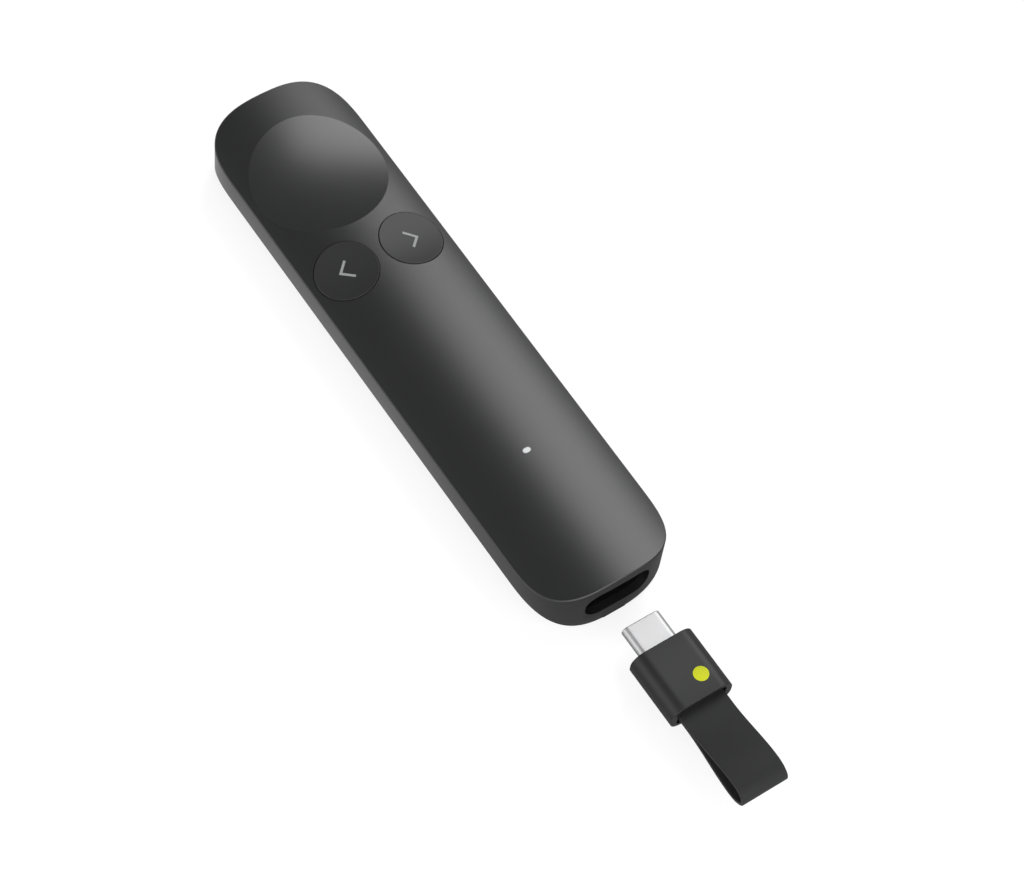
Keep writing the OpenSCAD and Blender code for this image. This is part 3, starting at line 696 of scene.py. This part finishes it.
cover_skin = combine(cover_skin, holes)
place_piece(cover_skin, belly_matte, "body", "belly_cover")

# %% [markdown]
# ## The rest strip
#
# A rubber strip runs under the whole belly and keeps the gadget from sliding. A
# box would do for its middle, but at both ends it slopes up into its groove, so
# that a pocket can't peel it. So it is built from cross-sections along the body:
# each one knows how far it is from the end, and draws in or rises by that.

# %% Rest strip
RAMP_L, END_PROUD, STRIP_CORNER, STRIP_EDGE = 4.0, 0.1, 0.2, 0.12


def drawn_in(from_end, radius):
    """How far a round edge has drawn in at this distance from the end."""
    return radius - math.sqrt(radius**2 - max(0.0, radius - from_end) ** 2)


def strip_section(from_end):
    half = STRIP_W / 2 - drawn_in(from_end, STRIP_CORNER)
    low = max(0.0, 1 - from_end / RAMP_L) * (Z_BELLY - END_PROUD) + drawn_in(from_end, STRIP_EDGE)
    right = [(half - i, low + d) for i, d in round_steps(STRIP_EDGE, 4)] + [(half, Z_BELLY + STRIP_SINK)]
    return right + [(-x, z) for x, z in right[::-1]]


# Distances from an end, close together where the corner and the edge are round
near_end = [0.0, 0.02, 0.05, 0.08, 0.12, 0.16, 0.2, 1.0, 2.0, 3.0, RAMP_L]
stations = [(Y_TAIL + d, d) for d in near_end] + [(Y_TIP - d, d) for d in near_end[::-1]]
strip_skin = capped("strip_skin", [[(x, y, z) for x, z in strip_section(d)] for y, d in stations])
place_piece(strip_skin, strip_rubber, "body", "rest_strip")

# %% [markdown]
# ## Copies on points
#
# Three equal screws hold the body together, and the port and the plug each have
# two rows of equal contacts. Each could be built on its own, but a Geometry Nodes
# tree sets a copy of one model on every point it is given. Its inputs are the
# points, the model, how far a copy may be turned, the seed of that turn and the
# finish: driven screws never stop at one angle, while contacts aren't turned.
# Every tree of this lesson starts with named inputs, and ends by making its
# copies real and giving them their finish, so two helpers do that.

# %% Start and end of a tree
def start_tree(name, result, **inputs):
    """A Geometry Nodes tree; each input is given with the kind of its socket."""
    tree = bpy.data.node_groups.new(name, "GeometryNodeTree")
    for label, kind in inputs.items():
        tree.interface.new_socket(label, in_out="INPUT", socket_type="NodeSocket" + kind)
    tree.interface.new_socket(result, in_out="OUTPUT", socket_type="NodeSocketGeometry")
    return tree, tree.nodes.new("NodeGroupInput").outputs


def end_tree(tree, made, finish):
    whole = add_node(tree, "GeometryNodeRealizeInstances", {"Geometry": made})
    dressed = add_node(tree, "GeometryNodeSetMaterial",
                       {"Geometry": whole.outputs["Geometry"], "Material": finish})
    out = tree.nodes.new("NodeGroupOutput")
    tree.links.new(dressed.outputs["Geometry"], out.inputs[0])
    return tree


# %% Copying tree
def copies_tree():
    tree, given = start_tree("copies_on_points", "Copies", Points="Geometry", Model="Object",
                             Turn="Float", Seed="Int", Finish="Material")
    model = add_node(tree, "GeometryNodeObjectInfo", {"Object": given["Model"]})
    chance = add_node(tree, "FunctionNodeRandomValue",
                      {2: 0.0, 3: given["Turn"], "Seed": given["Seed"]}, data_type="FLOAT")
    angles = add_node(tree, "ShaderNodeCombineXYZ", {"Z": chance.outputs[1]})
    turned = add_node(tree, "FunctionNodeEulerToRotation", {"Euler": angles.outputs["Vector"]})
    copies = add_node(tree, "GeometryNodeInstanceOnPoints",
                      {"Points": given["Points"], "Instance": model.outputs["Geometry"],
                       "Rotation": turned.outputs["Rotation"]})
    return end_tree(tree, copies.outputs["Instances"], given["Finish"])


def run_tree(name, holder, tree, values, sharp=32.0):
    """Runs a tree on an object and returns the result as a plain mesh object."""
    maker = holder.modifiers.new("maker", "NODES")
    maker.node_group = tree
    for item in tree.interface.items_tree:
        if item.in_out == "INPUT" and item.name in values:
            maker[item.identifier] = values[item.name]
    mesh = solved_mesh(holder)
    bpy.data.objects.remove(holder)
    weld(mesh)
    return as_object(name, mesh, sharp)


def copies(name, model, places, finish, turn=0.0, seed=0):
    """Sets the model on each place, and removes the model itself."""
    points = bpy.data.meshes.new(name + "_points")
    points.from_pydata([Vector(p) * MM for p in places], [], [])
    holder = add_object(name + "_points", points)
    values = {"Model": model, "Turn": turn, "Seed": seed, "Finish": finish}
    made = run_tree(name, holder, copies_tree(), values)
    bpy.data.objects.remove(model)
    return made


# %% [markdown]
# ## The screws
#
# The screws sit head down under the strip, in the cover's sunk seats. A screw is
# a row of rings round one axis: the head's rounded rim, the shank, a thread of
# fine ridges and the point. The cross in the head is cut, like the body's holes.

# %% Screws
HEAD_R, HEAD_EDGE, SHANK_L, POINT_L = 1.4, 0.15, 8.4, 0.6
THREAD_D, THREAD_PITCH, THREAD_FREE = 0.1, 0.5, 1.0
CROSS_L, CROSS_W, CROSS_D = 1.5, 0.3, 0.3
profile = [(HEAD_R - i, d - HEAD_T) for i, d in round_steps(HEAD_EDGE)]
profile += [(HEAD_R, 0.0), (SCREW_R, 0.0)]
for height in np.arange(THREAD_FREE, SHANK_L - THREAD_FREE, THREAD_PITCH):
    profile += [(SCREW_R - THREAD_D, height), (SCREW_R, height + THREAD_PITCH / 2)]
profile += [(SCREW_R - THREAD_D, SHANK_L - POINT_L), (SCREW_R / 3, SHANK_L)]
screw_model = capped("screw_model", [[(x, y, z) for x, y in circle(r, 32)] for r, z in profile])
cuts = [upright(rectangle(*size), 0, 0, -HEAD_T - OVER, -HEAD_T + CROSS_D)
        for size in ((CROSS_L, CROSS_W), (CROSS_W, CROSS_L))]
screw_model = combine(screw_model, cuts)
heads = [(0, y, Z_HEAD) for y in SCREW_Y]
screws = copies("screws", screw_model, heads, screw_steel, turn=math.pi / 2, seed=3)
place_piece(screws, screw_steel, "body", "cover_screws")

# %% [markdown]
# ## The pointer button
#
# The large button is the gadget's showpiece. Its rim lies flush in the crowned
# shell, but a finger finds a dish in it: hollow along the body, crowned across
# it, which makes a saddle. The saddle is a rule: each point's height follows
# from its distance from two circles. The small buttons lean with the crown and
# are hollow along the body only; their rims stand an even 0.2 mm over the crown.

# %% The buttons' tops
POINTER_DISH, KEY_LIFT = 1.14, 0.2


def saddle(x, y):
    """Height of the pointer button's top, over its centre's place."""
    along = (POINTER_R**2 + POINTER_DISH**2) / (2 * POINTER_DISH)
    across = 1 / (1 / CROWN_R - 1 / along)
    reach = along + across - np.sqrt(across**2 - x**2)
    return Z_TOP - POINTER_DISH + along - np.sqrt(reach**2 - y**2)


def key_top(side):
    """A small button's top: straight across the body, hollow along it."""
    lean = math.asin(KEY_X / CROWN_R)
    lift = KEY_LIFT - KEY_R**2 / (2 * CROWN_R)

    def height(x, y):
        # The dish is measured square to the leaning rim, and then turned into a height
        dish = lift + CROWN_R - np.sqrt(CROWN_R**2 - y**2)
        middle = Z_TOP - CROWN_R + CROWN_R * math.cos(lean)
        return middle + dish / math.cos(lean) - side * x * math.tan(lean)

    return height


depth = saddle(0, POINTER_R) - saddle(0, 0)
print("pointer button's dish:", round(float(depth), 3), "mm deep")

# %% [markdown]
# All three buttons are the same kind of cap, built from rings whose heights come
# from such a rule: a dished top, a rounded rim, a skirt, and in the middle a post
# that reaches the switch. Two tabs on the skirt keep the cap from being pulled
# out. A ring close inside the rim keeps its rounding from shading the dish.

# %% Round caps
Z_SKIRT, Z_POST, CAP_T, SKIRT_T, GUIDE_R = 9.2, 8.57, 1.2, 1.1, 1.5
HUB_R, RIM_BAND, TAB_L, TAB_SINK = 0.6, 0.05, 2.0, 0.12
CAP_POINTS, TOP_RINGS, UNDER_RINGS = 144, 16, 6


def tab_top(x):
    """As high as a tab may reach under the shell, this far from the body's middle."""
    return float(crown_z(x, TOP_T)) - TAB_SINK


def dished_button(name, x, y, radius, height, edge, tab_w):
    skin = Skin()

    def ring(r, drop=0.0, flat=None):
        return [(x + u, y + v, (height(u, v) - drop) if flat is None else flat)
                for u, v in circle(r, CAP_POINTS)]

    flat_r = radius - edge
    inner = [ring(r) for r in (flat_r, *np.linspace(flat_r - RIM_BAND, HUB_R, TOP_RINGS))][::-1]
    rim = [ring(radius - i, d) for i, d in round_steps(edge)][1:]
    skirt = [ring(radius, flat=Z_SKIRT), ring(radius - SKIRT_T, flat=Z_SKIRT)]
    under = [ring(r, CAP_T) for r in np.linspace(radius - SKIRT_T, GUIDE_R, UNDER_RINGS)]
    rings = skin.loft(inner + rim + skirt + under + [ring(GUIDE_R, flat=Z_POST)])
    skin.fan(rings[0], (x, y, height(0, 0)))
    skin.fan(rings[-1], (x, y, Z_POST))
    piece = finish_mesh(name, skin)
    tab_z = tab_top(abs(x) + tab_w / 2)
    tabs = [upright(rectangle(tab_w, TAB_L), x, y + end * radius, Z_SKIRT, tab_z) for end in (-1, 1)]
    return combine(piece, tabs, "UNION")


# %% Buttons in place
POINTER_RIM, POINTER_EDGE, POINTER_TAB = 0.05, 0.02, 6.0
KEY_EDGE, KEY_TAB = 0.14, 3.0
pointer = dished_button("pointer_cap", 0, POINTER_Y, POINTER_R + POINTER_RIM, saddle, POINTER_EDGE,
                        POINTER_TAB)
place_piece(pointer, button_satin, "pointer", "pointer_button")
for side, body in ((-1, "back"), (1, "next")):
    key = dished_button(body + "_cap", side * KEY_X, KEY_Y, KEY_R, key_top(side), KEY_EDGE, KEY_TAB)
    place_piece(key, key_matte, body, body + "_button")

# %% [markdown]
# ## The printed arrows
#
# Each small button carries one bare arrow, the plain sign for back or next. Ink
# is a layer with a thickness, so each arrow is a thin ribbon that follows the
# dish: two strokes that meet in a mitre, laid a hair above the surface.

# %% Arrows
INK_T, STROKE, STROKE_STEPS = 0.02, 0.50, 7


def arrow(name, corners, side):
    """Two strokes through three corners; each ring is a small box across the stroke."""
    height = key_top(side)
    start, bend, end = [np.array(p) - (side * KEY_X, KEY_Y) for p in corners]
    shares = np.linspace(0, 1, STROKE_STEPS)
    path = [start + (bend - start) * t for t in shares] + [bend + (end - bend) * t for t in shares[1:]]
    rings = []
    for i, p in enumerate(path):
        back = path[i] - path[i - 1] if i else path[1] - path[0]
        ahead = path[i + 1] - path[i] if i < len(path) - 1 else back
        one, two = back / np.linalg.norm(back), ahead / np.linalg.norm(ahead)
        across = np.array([-(one + two)[1], (one + two)[0]])
        across /= np.linalg.norm(across)
        reach = STROKE / 2 / float(np.dot(across, [-one[1], one[0]]))
        left, right = p + across * reach, p - across * reach
        rings.append([(q[0] + side * KEY_X, q[1] + KEY_Y, height(q[0], q[1]) + z)
                      for q, z in ((left, INK_T), (right, INK_T), (right, -INK_T), (left, -INK_T))])
    return capped(name, rings)


next_arrow = arrow("next_arrow", [(6.55, 21.30), (8.59, 19.31), (6.62, 17.43)], 1)
back_arrow = arrow("back_arrow", [(-6.48, 21.55), (-8.51, 19.64), (-6.41, 17.54)], -1)
place_piece(next_arrow, ink_grey, "next")
place_piece(back_arrow, ink_grey, "back")

# %% [markdown]
# ## The receiver's housing
#
# The receiver is a small block with well-rounded long edges. Its front holds the
# plug, and its rear is sunk round the strap, leaving a thin lip. All of it is
# one closed row of rings: round the front edge, along the outside, over the rear
# lip, down into the recess, through the strap's slot and back along the inside.

# %% Receiver housing
CASE_W, CASE_H, CASE_L, CASE_R = 13.5, 6.65, 13.1, 2.8
PULL_GAP, PLUG_W, PLUG_H, PLUG_L = 6.8, 8.25, 2.4, 6.55
Y_PLUG = Y_TAIL - PULL_GAP
Y_CASE = Y_PLUG - PLUG_L
Y_REAR = Y_CASE - CASE_L
CASE_T, FRONT_EDGE, REAR_EDGE = 1.0, 0.12, 0.1
RECESS_W, RECESS_H, RECESS_D, RECESS_R, RECESS_EDGE = 10.6, 4.9, 1.6, 1.0, 0.08
WEB_T, STRAP_W, STRAP_T = 1.2, 10.0, 0.7
STRAP_SIDE_GAP, STRAP_FLAT_GAP, STRAP_HOLE_R = 0.06, 0.03, 0.1


def case_outline(inset):
    return round_rect(CASE_W - 2 * inset, CASE_H - 2 * inset, CASE_R - inset)


def level(outline, y):
    return [(u, y, Z_BAY + v) for u, v in outline]


def recess_outline(growth):
    return round_rect(RECESS_W + 2 * growth, RECESS_H + 2 * growth, RECESS_R + growth)


strap_slot = round_rect(STRAP_W + 2 * STRAP_SIDE_GAP, 2 * (STRAP_T + STRAP_FLAT_GAP), STRAP_HOLE_R)
Y_WEB = Y_REAR + RECESS_D
case_rings = [level(case_outline(CASE_T), Y_CASE)]
case_rings += [level(case_outline(i), Y_CASE - d) for i, d in round_steps(FRONT_EDGE)]
case_rings += [level(case_outline(i), Y_REAR + d) for i, d in round_steps(REAR_EDGE)][::-1]
case_rings += [level(recess_outline(RECESS_EDGE), Y_REAR), level(recess_outline(0), Y_REAR + RECESS_EDGE),
               level(recess_outline(0), Y_WEB), level(strap_slot, Y_WEB),
               level(strap_slot, Y_WEB + WEB_T), level(case_outline(CASE_T), Y_WEB + WEB_T)]
place_piece(tube("case_skin", case_rings), case_satin, "receiver", "receiver_housing")

# %% [markdown]
# The lime dot on the housing tells the user which receiver is which. It is a
# plain round print, a thin disc laid on the flat of the top face.

# %% Lime dot
DOT_R, DOT_X, DOT_Y = 1.5, 2.3, Y_CASE - 8.95
z_face = Z_BAY + CASE_H / 2
dot_profile = ((DOT_R, -INK_T), (DOT_R, INK_T * 0.6), (DOT_R - INK_T, INK_T))
dot = capped("lime_dot", [[(DOT_X + u, DOT_Y + v, z_face + z) for u, v in circle(r, 64)]
                          for r, z in dot_profile])
place_piece(dot, ink_lime, "receiver")

# %% [markdown]
# ## The plug
#
# The plug's shell is a flat tube of thin sheet whose mouth is rolled inwards a
# little, so that it finds its way into the port. Rings do this too: the last few
# shrink as they near the mouth, turn round the rolled edge and run back inside.

# %% Plug shell
PLUG_T, PLUG_ROOT, ROLL, LIP_TURN = 0.25, 3.0, 0.22, 0.02


def plug_outline(inset):
    return stadium(PLUG_W - 2 * inset, PLUG_H - 2 * inset)


plug_rings = [level(plug_outline(0), Y_CASE - PLUG_ROOT)]
plug_rings += [level(plug_outline(i), Y_PLUG - d) for i, d in round_steps(ROLL, 6)[::-1]]
plug_rings += [level(plug_outline(PLUG_T), y) for y in (Y_PLUG - LIP_TURN, Y_CASE - PLUG_ROOT)]
place_piece(tube("plug_skin", plug_rings), plug_steel, "receiver", "plug_shell")

# %% [markdown]
# ## The contacts
#
# Twelve gold springs lie on each face of the port's tongue, and as many wait for
# them in the plug. One thin bar with softened edges is the model, and the copying
# tree from the screws lays out both sets. They ride on different bodies, so each
# set is a mesh of its own.

# %% Contacts
CONTACT_W, CONTACT_T, CONTACT_R, CONTACT_PITCH, CONTACT_COUNT = 0.25, 0.03, 0.06, 0.5, 12
PORT_CONTACT_L, PORT_CONTACT_Y, PORT_CONTACT_H = 3.2, Y_TAIL + CASE_L + 4.1, 0.335
PLUG_CONTACT_L, PLUG_CONTACT_Y, PLUG_CONTACT_H = 4.2, Y_PLUG - 3.0, 0.435


def contact_bar(length):
    low = [[(x, y, d - CONTACT_T / 2)
            for x, y in round_rect(CONTACT_W - 2 * i, length - 2 * i, CONTACT_R - i, 2)]
           for i, d in round_steps(CONTACT_T / 3, 3)]
    high = [[(x, y, -z) for x, y, z in ring] for ring in low[::-1]]
    return capped("contact_bar", low + high)


def contact_places(y, height):
    first = -(CONTACT_COUNT - 1) / 2 * CONTACT_PITCH
    return [(first + i * CONTACT_PITCH, y, Z_BAY + side * height)
            for i in range(CONTACT_COUNT) for side in (-1, 1)]


for name, body, length, y, height in (
        ("port_contacts", "body", PORT_CONTACT_L, PORT_CONTACT_Y, PORT_CONTACT_H),
        ("plug_contacts", "receiver", PLUG_CONTACT_L, PLUG_CONTACT_Y, PLUG_CONTACT_H)):
    row = copies(name + "_row", contact_bar(length), contact_places(y, height), contact_gold)
    place_piece(row, contact_gold, body, name)

# %% [markdown]
# ## The pull strap
#
# The strap is one soft band, folded to a loop: both layers leave the housing
# together, swell apart and turn over a rounded fold. A band that follows a path
# is work for Geometry Nodes: the path is a closed curve, the band's section a
# rounded rectangle, and Curve to Mesh sweeps one along the other. The section's
# sizes are named inputs of the tree, so the band is easily made wider or thinner.

# %% Strap path
STRAP_L, LOOP_H, FOLD_L, ROOT_L, STRAP_EDGE = 19.8, 5.2, 3.9, 2.6, 0.16
PIN_R, PIN_GAP, EYE_GAP, LAYER_GAP = 0.7, 0.03, 0.1, 0.01
EYE_R = PIN_R + PIN_GAP + STRAP_T / 2
EYE_BACK = RECESS_D + WEB_T + EYE_R + STRAP_T / 2 + EYE_GAP
REST = STRAP_T / 2 + LAYER_GAP
RISE = (LOOP_H - STRAP_T) / 2


def upper_band():
    """Distance from the housing and height over the middle, from the eye to the fold."""
    # Round the pin
    turns = np.radians(np.linspace(180, 62, 12))
    points = [(-EYE_BACK + EYE_R * math.cos(t), EYE_R * math.sin(t)) for t in turns]
    # Through the slot and straight out, close to the other layer
    points += [(-RECESS_D - WEB_T * 0.6, REST + 2 * LAYER_GAP), (-RECESS_D, REST)]
    points += [(d, REST) for d in np.linspace(-RECESS_D + 0.8, ROOT_L - 0.3, 5)]
    # Swelling apart
    fold = STRAP_L - FOLD_L
    for u in np.linspace(0, 1, 24):
        points.append((ROOT_L + u * (fold - ROOT_L), REST + (RISE - REST) * u * u * (3 - 2 * u)))
    # Over the fold
    for t in np.radians(np.linspace(0, 90, 16)[1:]):
        points.append((fold + (FOLD_L - STRAP_T / 2) * math.sin(t), RISE * math.cos(t)))
    return points


half_path = upper_band()
whole_path = half_path + [(d, -h) for d, h in half_path[-2:0:-1]]
strap_points = [Vector((0, Y_REAR - d, Z_BAY + h)) * MM for d, h in whole_path]
print("strap path:", len(strap_points), "points")

# %% [markdown]
# ## A band along a path
#
# The tree takes the path as its geometry, and draws the band's section from two
# named sizes and an edge radius. The same tree would make any flat strap.

# %% Strap band tree
def band_tree():
    tree, given = start_tree("band_along_path", "Band", Path="Geometry", Width="Float",
                             Thickness="Float", Edge="Float", Finish="Material")
    section = add_node(tree, "GeometryNodeCurvePrimitiveQuadrilateral",
                       {"Width": given["Width"], "Height": given["Thickness"]})
    rounded = add_node(tree, "GeometryNodeFilletCurve",
                       {"Curve": section.outputs["Curve"], "Count": 8, "Radius": given["Edge"]},
                       mode="POLY")
    swept = add_node(tree, "GeometryNodeCurveToMesh",
                     {"Curve": given["Path"], "Profile Curve": rounded.outputs["Curve"]})
    return end_tree(tree, swept.outputs["Mesh"], given["Finish"])


# %% [markdown]
# The path becomes a closed poly curve, and the tree turns it into the strap.

# %% Strap
path_data = bpy.data.curves.new("strap_path", "CURVE")
path_data.dimensions = "3D"
path = path_data.splines.new("POLY")
path.points.add(len(strap_points) - 1)
for point, place in zip(path.points, strap_points):
    point.co = (*place, 1)
path.use_cyclic_u = True
values = {"Width": STRAP_W * MM, "Thickness": STRAP_T * MM, "Edge": STRAP_EDGE * MM,
          "Finish": strap_rubber}
strap = run_tree("strap_band", add_object("strap_path", path_data), band_tree(), values, sharp=50.0)
place_piece(strap, strap_rubber, "receiver", "strap_loop")

# %% [markdown]
# ## The floor
#
# The photograph has a plain white ground. A pale floor gives it, and keeps the
# soft shadow that says where the gadget lies. For the camera, and for what shows
# in gloss, metal and glass, the floor glows by itself, so the lamps can stay
# gentle and the dark plastic keeps its colour. The camera sees it glow up to
# white. The gloss sees it a little dimmer, and dimmest in one round patch before
# the tail, as if a grey sheet lay there: that is how a photographer keeps an end
# wall darker than a side wall. Both dimmings are a painted reflection, which only
# the gloss sees.

# %% Sums and fades
def combined(tree, operation, first, second):
    return add_node(tree, "ShaderNodeMath", {0: first, 1: second}, operation=operation).outputs[0]


def fading(tree, value, start, end, low, high):
    """Runs smoothly from low to high while the value runs from start to end."""
    limits = {"Value": value, "From Min": start, "From Max": end, "To Min": low, "To Max": high}
    fade = add_node(tree, "ShaderNodeMapRange", limits, interpolation_type="SMOOTHSTEP")
    return fade.outputs["Result"]


# %% Floor
PAPER, SHADE, GLOW = 0.80, 0.24, 0.78
# Painted reflection: the middle, inner and outer reach of the dim patch that only the gloss sees, its level,
# and the gloss level elsewhere
DIM_REFLECTION_AT, DIM_REFLECTION_IN, DIM_REFLECTION_OUT, DIM_REFLECTION_LEVEL, OPEN_REFLECTION_LEVEL = (8.0, -66.0, 0.0), 4.0, 72.0, 0.24, 0.81


def floor_material():
    material = bpy.data.materials.new("pale_floor")
    material.use_nodes = True
    tree = material.node_tree
    tree.nodes.clear()
    rays = add_node(tree, "ShaderNodeLightPath").outputs
    plain = combined(tree, "MAXIMUM", rays["Is Camera Ray"], rays["Is Transmission Ray"])
    seen = combined(tree, "MAXIMUM", plain, rays["Is Glossy Ray"])
    place = add_node(tree, "ShaderNodeTexCoord").outputs["Object"]
    middle = tuple(c * MM for c in DIM_REFLECTION_AT)
    away = add_node(tree, "ShaderNodeVectorMath", {0: place, 1: middle}, operation="DISTANCE")
    # Painted reflection: the floor's level as the gloss sees it, lowest in the round patch before the tail
    painted_reflection = fading(tree, away.outputs["Value"], DIM_REFLECTION_IN * MM, DIM_REFLECTION_OUT * MM, DIM_REFLECTION_LEVEL, OPEN_REFLECTION_LEVEL)
    level = add_node(tree, "ShaderNodeMix", {0: rays["Is Glossy Ray"], 2: 1.0, 3: painted_reflection}).outputs[0]
    paper = add_node(tree, "ShaderNodeBsdfDiffuse", {"Color": (PAPER, PAPER, PAPER, 1)})
    shade = add_node(tree, "ShaderNodeBsdfDiffuse", {"Color": combined(tree, "MULTIPLY", level, SHADE)})
    glow = add_node(tree, "ShaderNodeEmission", {"Strength": combined(tree, "MULTIPLY", level, GLOW)})
    bright = add_node(tree, "ShaderNodeAddShader", {0: shade.outputs[0], 1: glow.outputs[0]})
    mixed = add_node(tree, "ShaderNodeMixShader", {0: seen, 1: paper.outputs[0], 2: bright.outputs[0]})
    out = add_node(tree, "ShaderNodeOutputMaterial")
    tree.links.new(mixed.outputs[0], out.inputs["Surface"])
    return material


# A hair below the rest strip, so that the two flat faces don't share one plane
FLOOR_HALF, FLOOR_Z = 6.0, -0.01 * MM
floor_mesh = bpy.data.meshes.new("floor")
corners = [(x * FLOOR_HALF, y * FLOOR_HALF, FLOOR_Z) for x, y in SQUARE]
floor_mesh.from_pydata(corners, [], [(0, 1, 2, 3)])
floor_mesh.materials.append(floor_material())
floor = add_object("floor", floor_mesh)
print("floor:", 2 * FLOOR_HALF, "m square")

# %% [markdown]
# ## The studio
#
# Satin black plastic shows little but its surroundings, so the light is the
# look. One large soft lamp high on the right draws the long bright band along
# the crown. The rest is a dim room with three soft cards in it, patches of the
# world's glow that depend only on direction: one in front, which draws the thin
# light line along the tail's upper edge, one at the left corner, which leads that
# line round the bend, and one low on the left, which lights the rounded left
# sides of the plug and the receiver.

# %% Key lamp
LAMP_FROM, LAMP_AWAY, LAMP_SIZE, LAMP_RADIANCE = (0.62, 0.26, 0.76), 1.6, (0.85, 1.1), 5.8


def soft_lamp(name, direction, distance, width, height, radiance):
    """A glowing panel, as far from the origin as said, that faces it."""
    data = bpy.data.lights.new(name, "AREA")
    data.shape = "RECTANGLE"
    data.size, data.size_y = width, height
    data.energy = radiance * math.pi * width * height
    lamp = add_object(name, data)
    lamp.location = Vector(direction).normalized() * distance
    lamp.rotation_mode = "QUATERNION"
    lamp.rotation_quaternion = (-lamp.location).to_track_quat("-Z", "Y")
    return lamp


key_lamp = soft_lamp("key_lamp", LAMP_FROM, LAMP_AWAY, *LAMP_SIZE, LAMP_RADIANCE)
print("key lamp at", [round(c, 2) for c in key_lamp.location], "m")

# %% Room and cards
# Each card: its direction, up to how many degrees from it the glow is full, where it ends, how strong
ROOM = 0.31
CARDS = (((-0.04, -0.88, 0.44), 18, 46, 4.0),
         ((-0.75, -0.40, 0.50), 8, 28, 2.4),
         ((-0.865, 0.377, 0.33), 12, 34, 3.0))
world = bpy.data.worlds.new("studio")
bpy.context.scene.world = world
world.use_nodes = True
tree = world.node_tree
tree.nodes.clear()
view = add_node(tree, "ShaderNodeTexCoord").outputs["Generated"]
total = ROOM
for towards, inner, outer, strength in CARDS:
    middle = Vector(towards).normalized()
    facing = add_node(tree, "ShaderNodeVectorMath", {0: view, 1: middle}, operation="DOT_PRODUCT")
    begins, full = [math.cos(math.radians(angle)) for angle in (outer, inner)]
    card = fading(tree, facing.outputs["Value"], begins, full, 0, strength)
    total = combined(tree, "ADD", card, total)
glow = add_node(tree, "ShaderNodeBackground", {"Strength": total})
out = add_node(tree, "ShaderNodeOutputWorld")
tree.links.new(glow.outputs[0], out.inputs["Surface"])
print("world:", len(CARDS), "soft cards")

# %% [markdown]
# ## Finish
#
# The picture is shown as it is, with no film look.

# %% Finish
bpy.context.scene.view_settings.view_transform = "Standard"
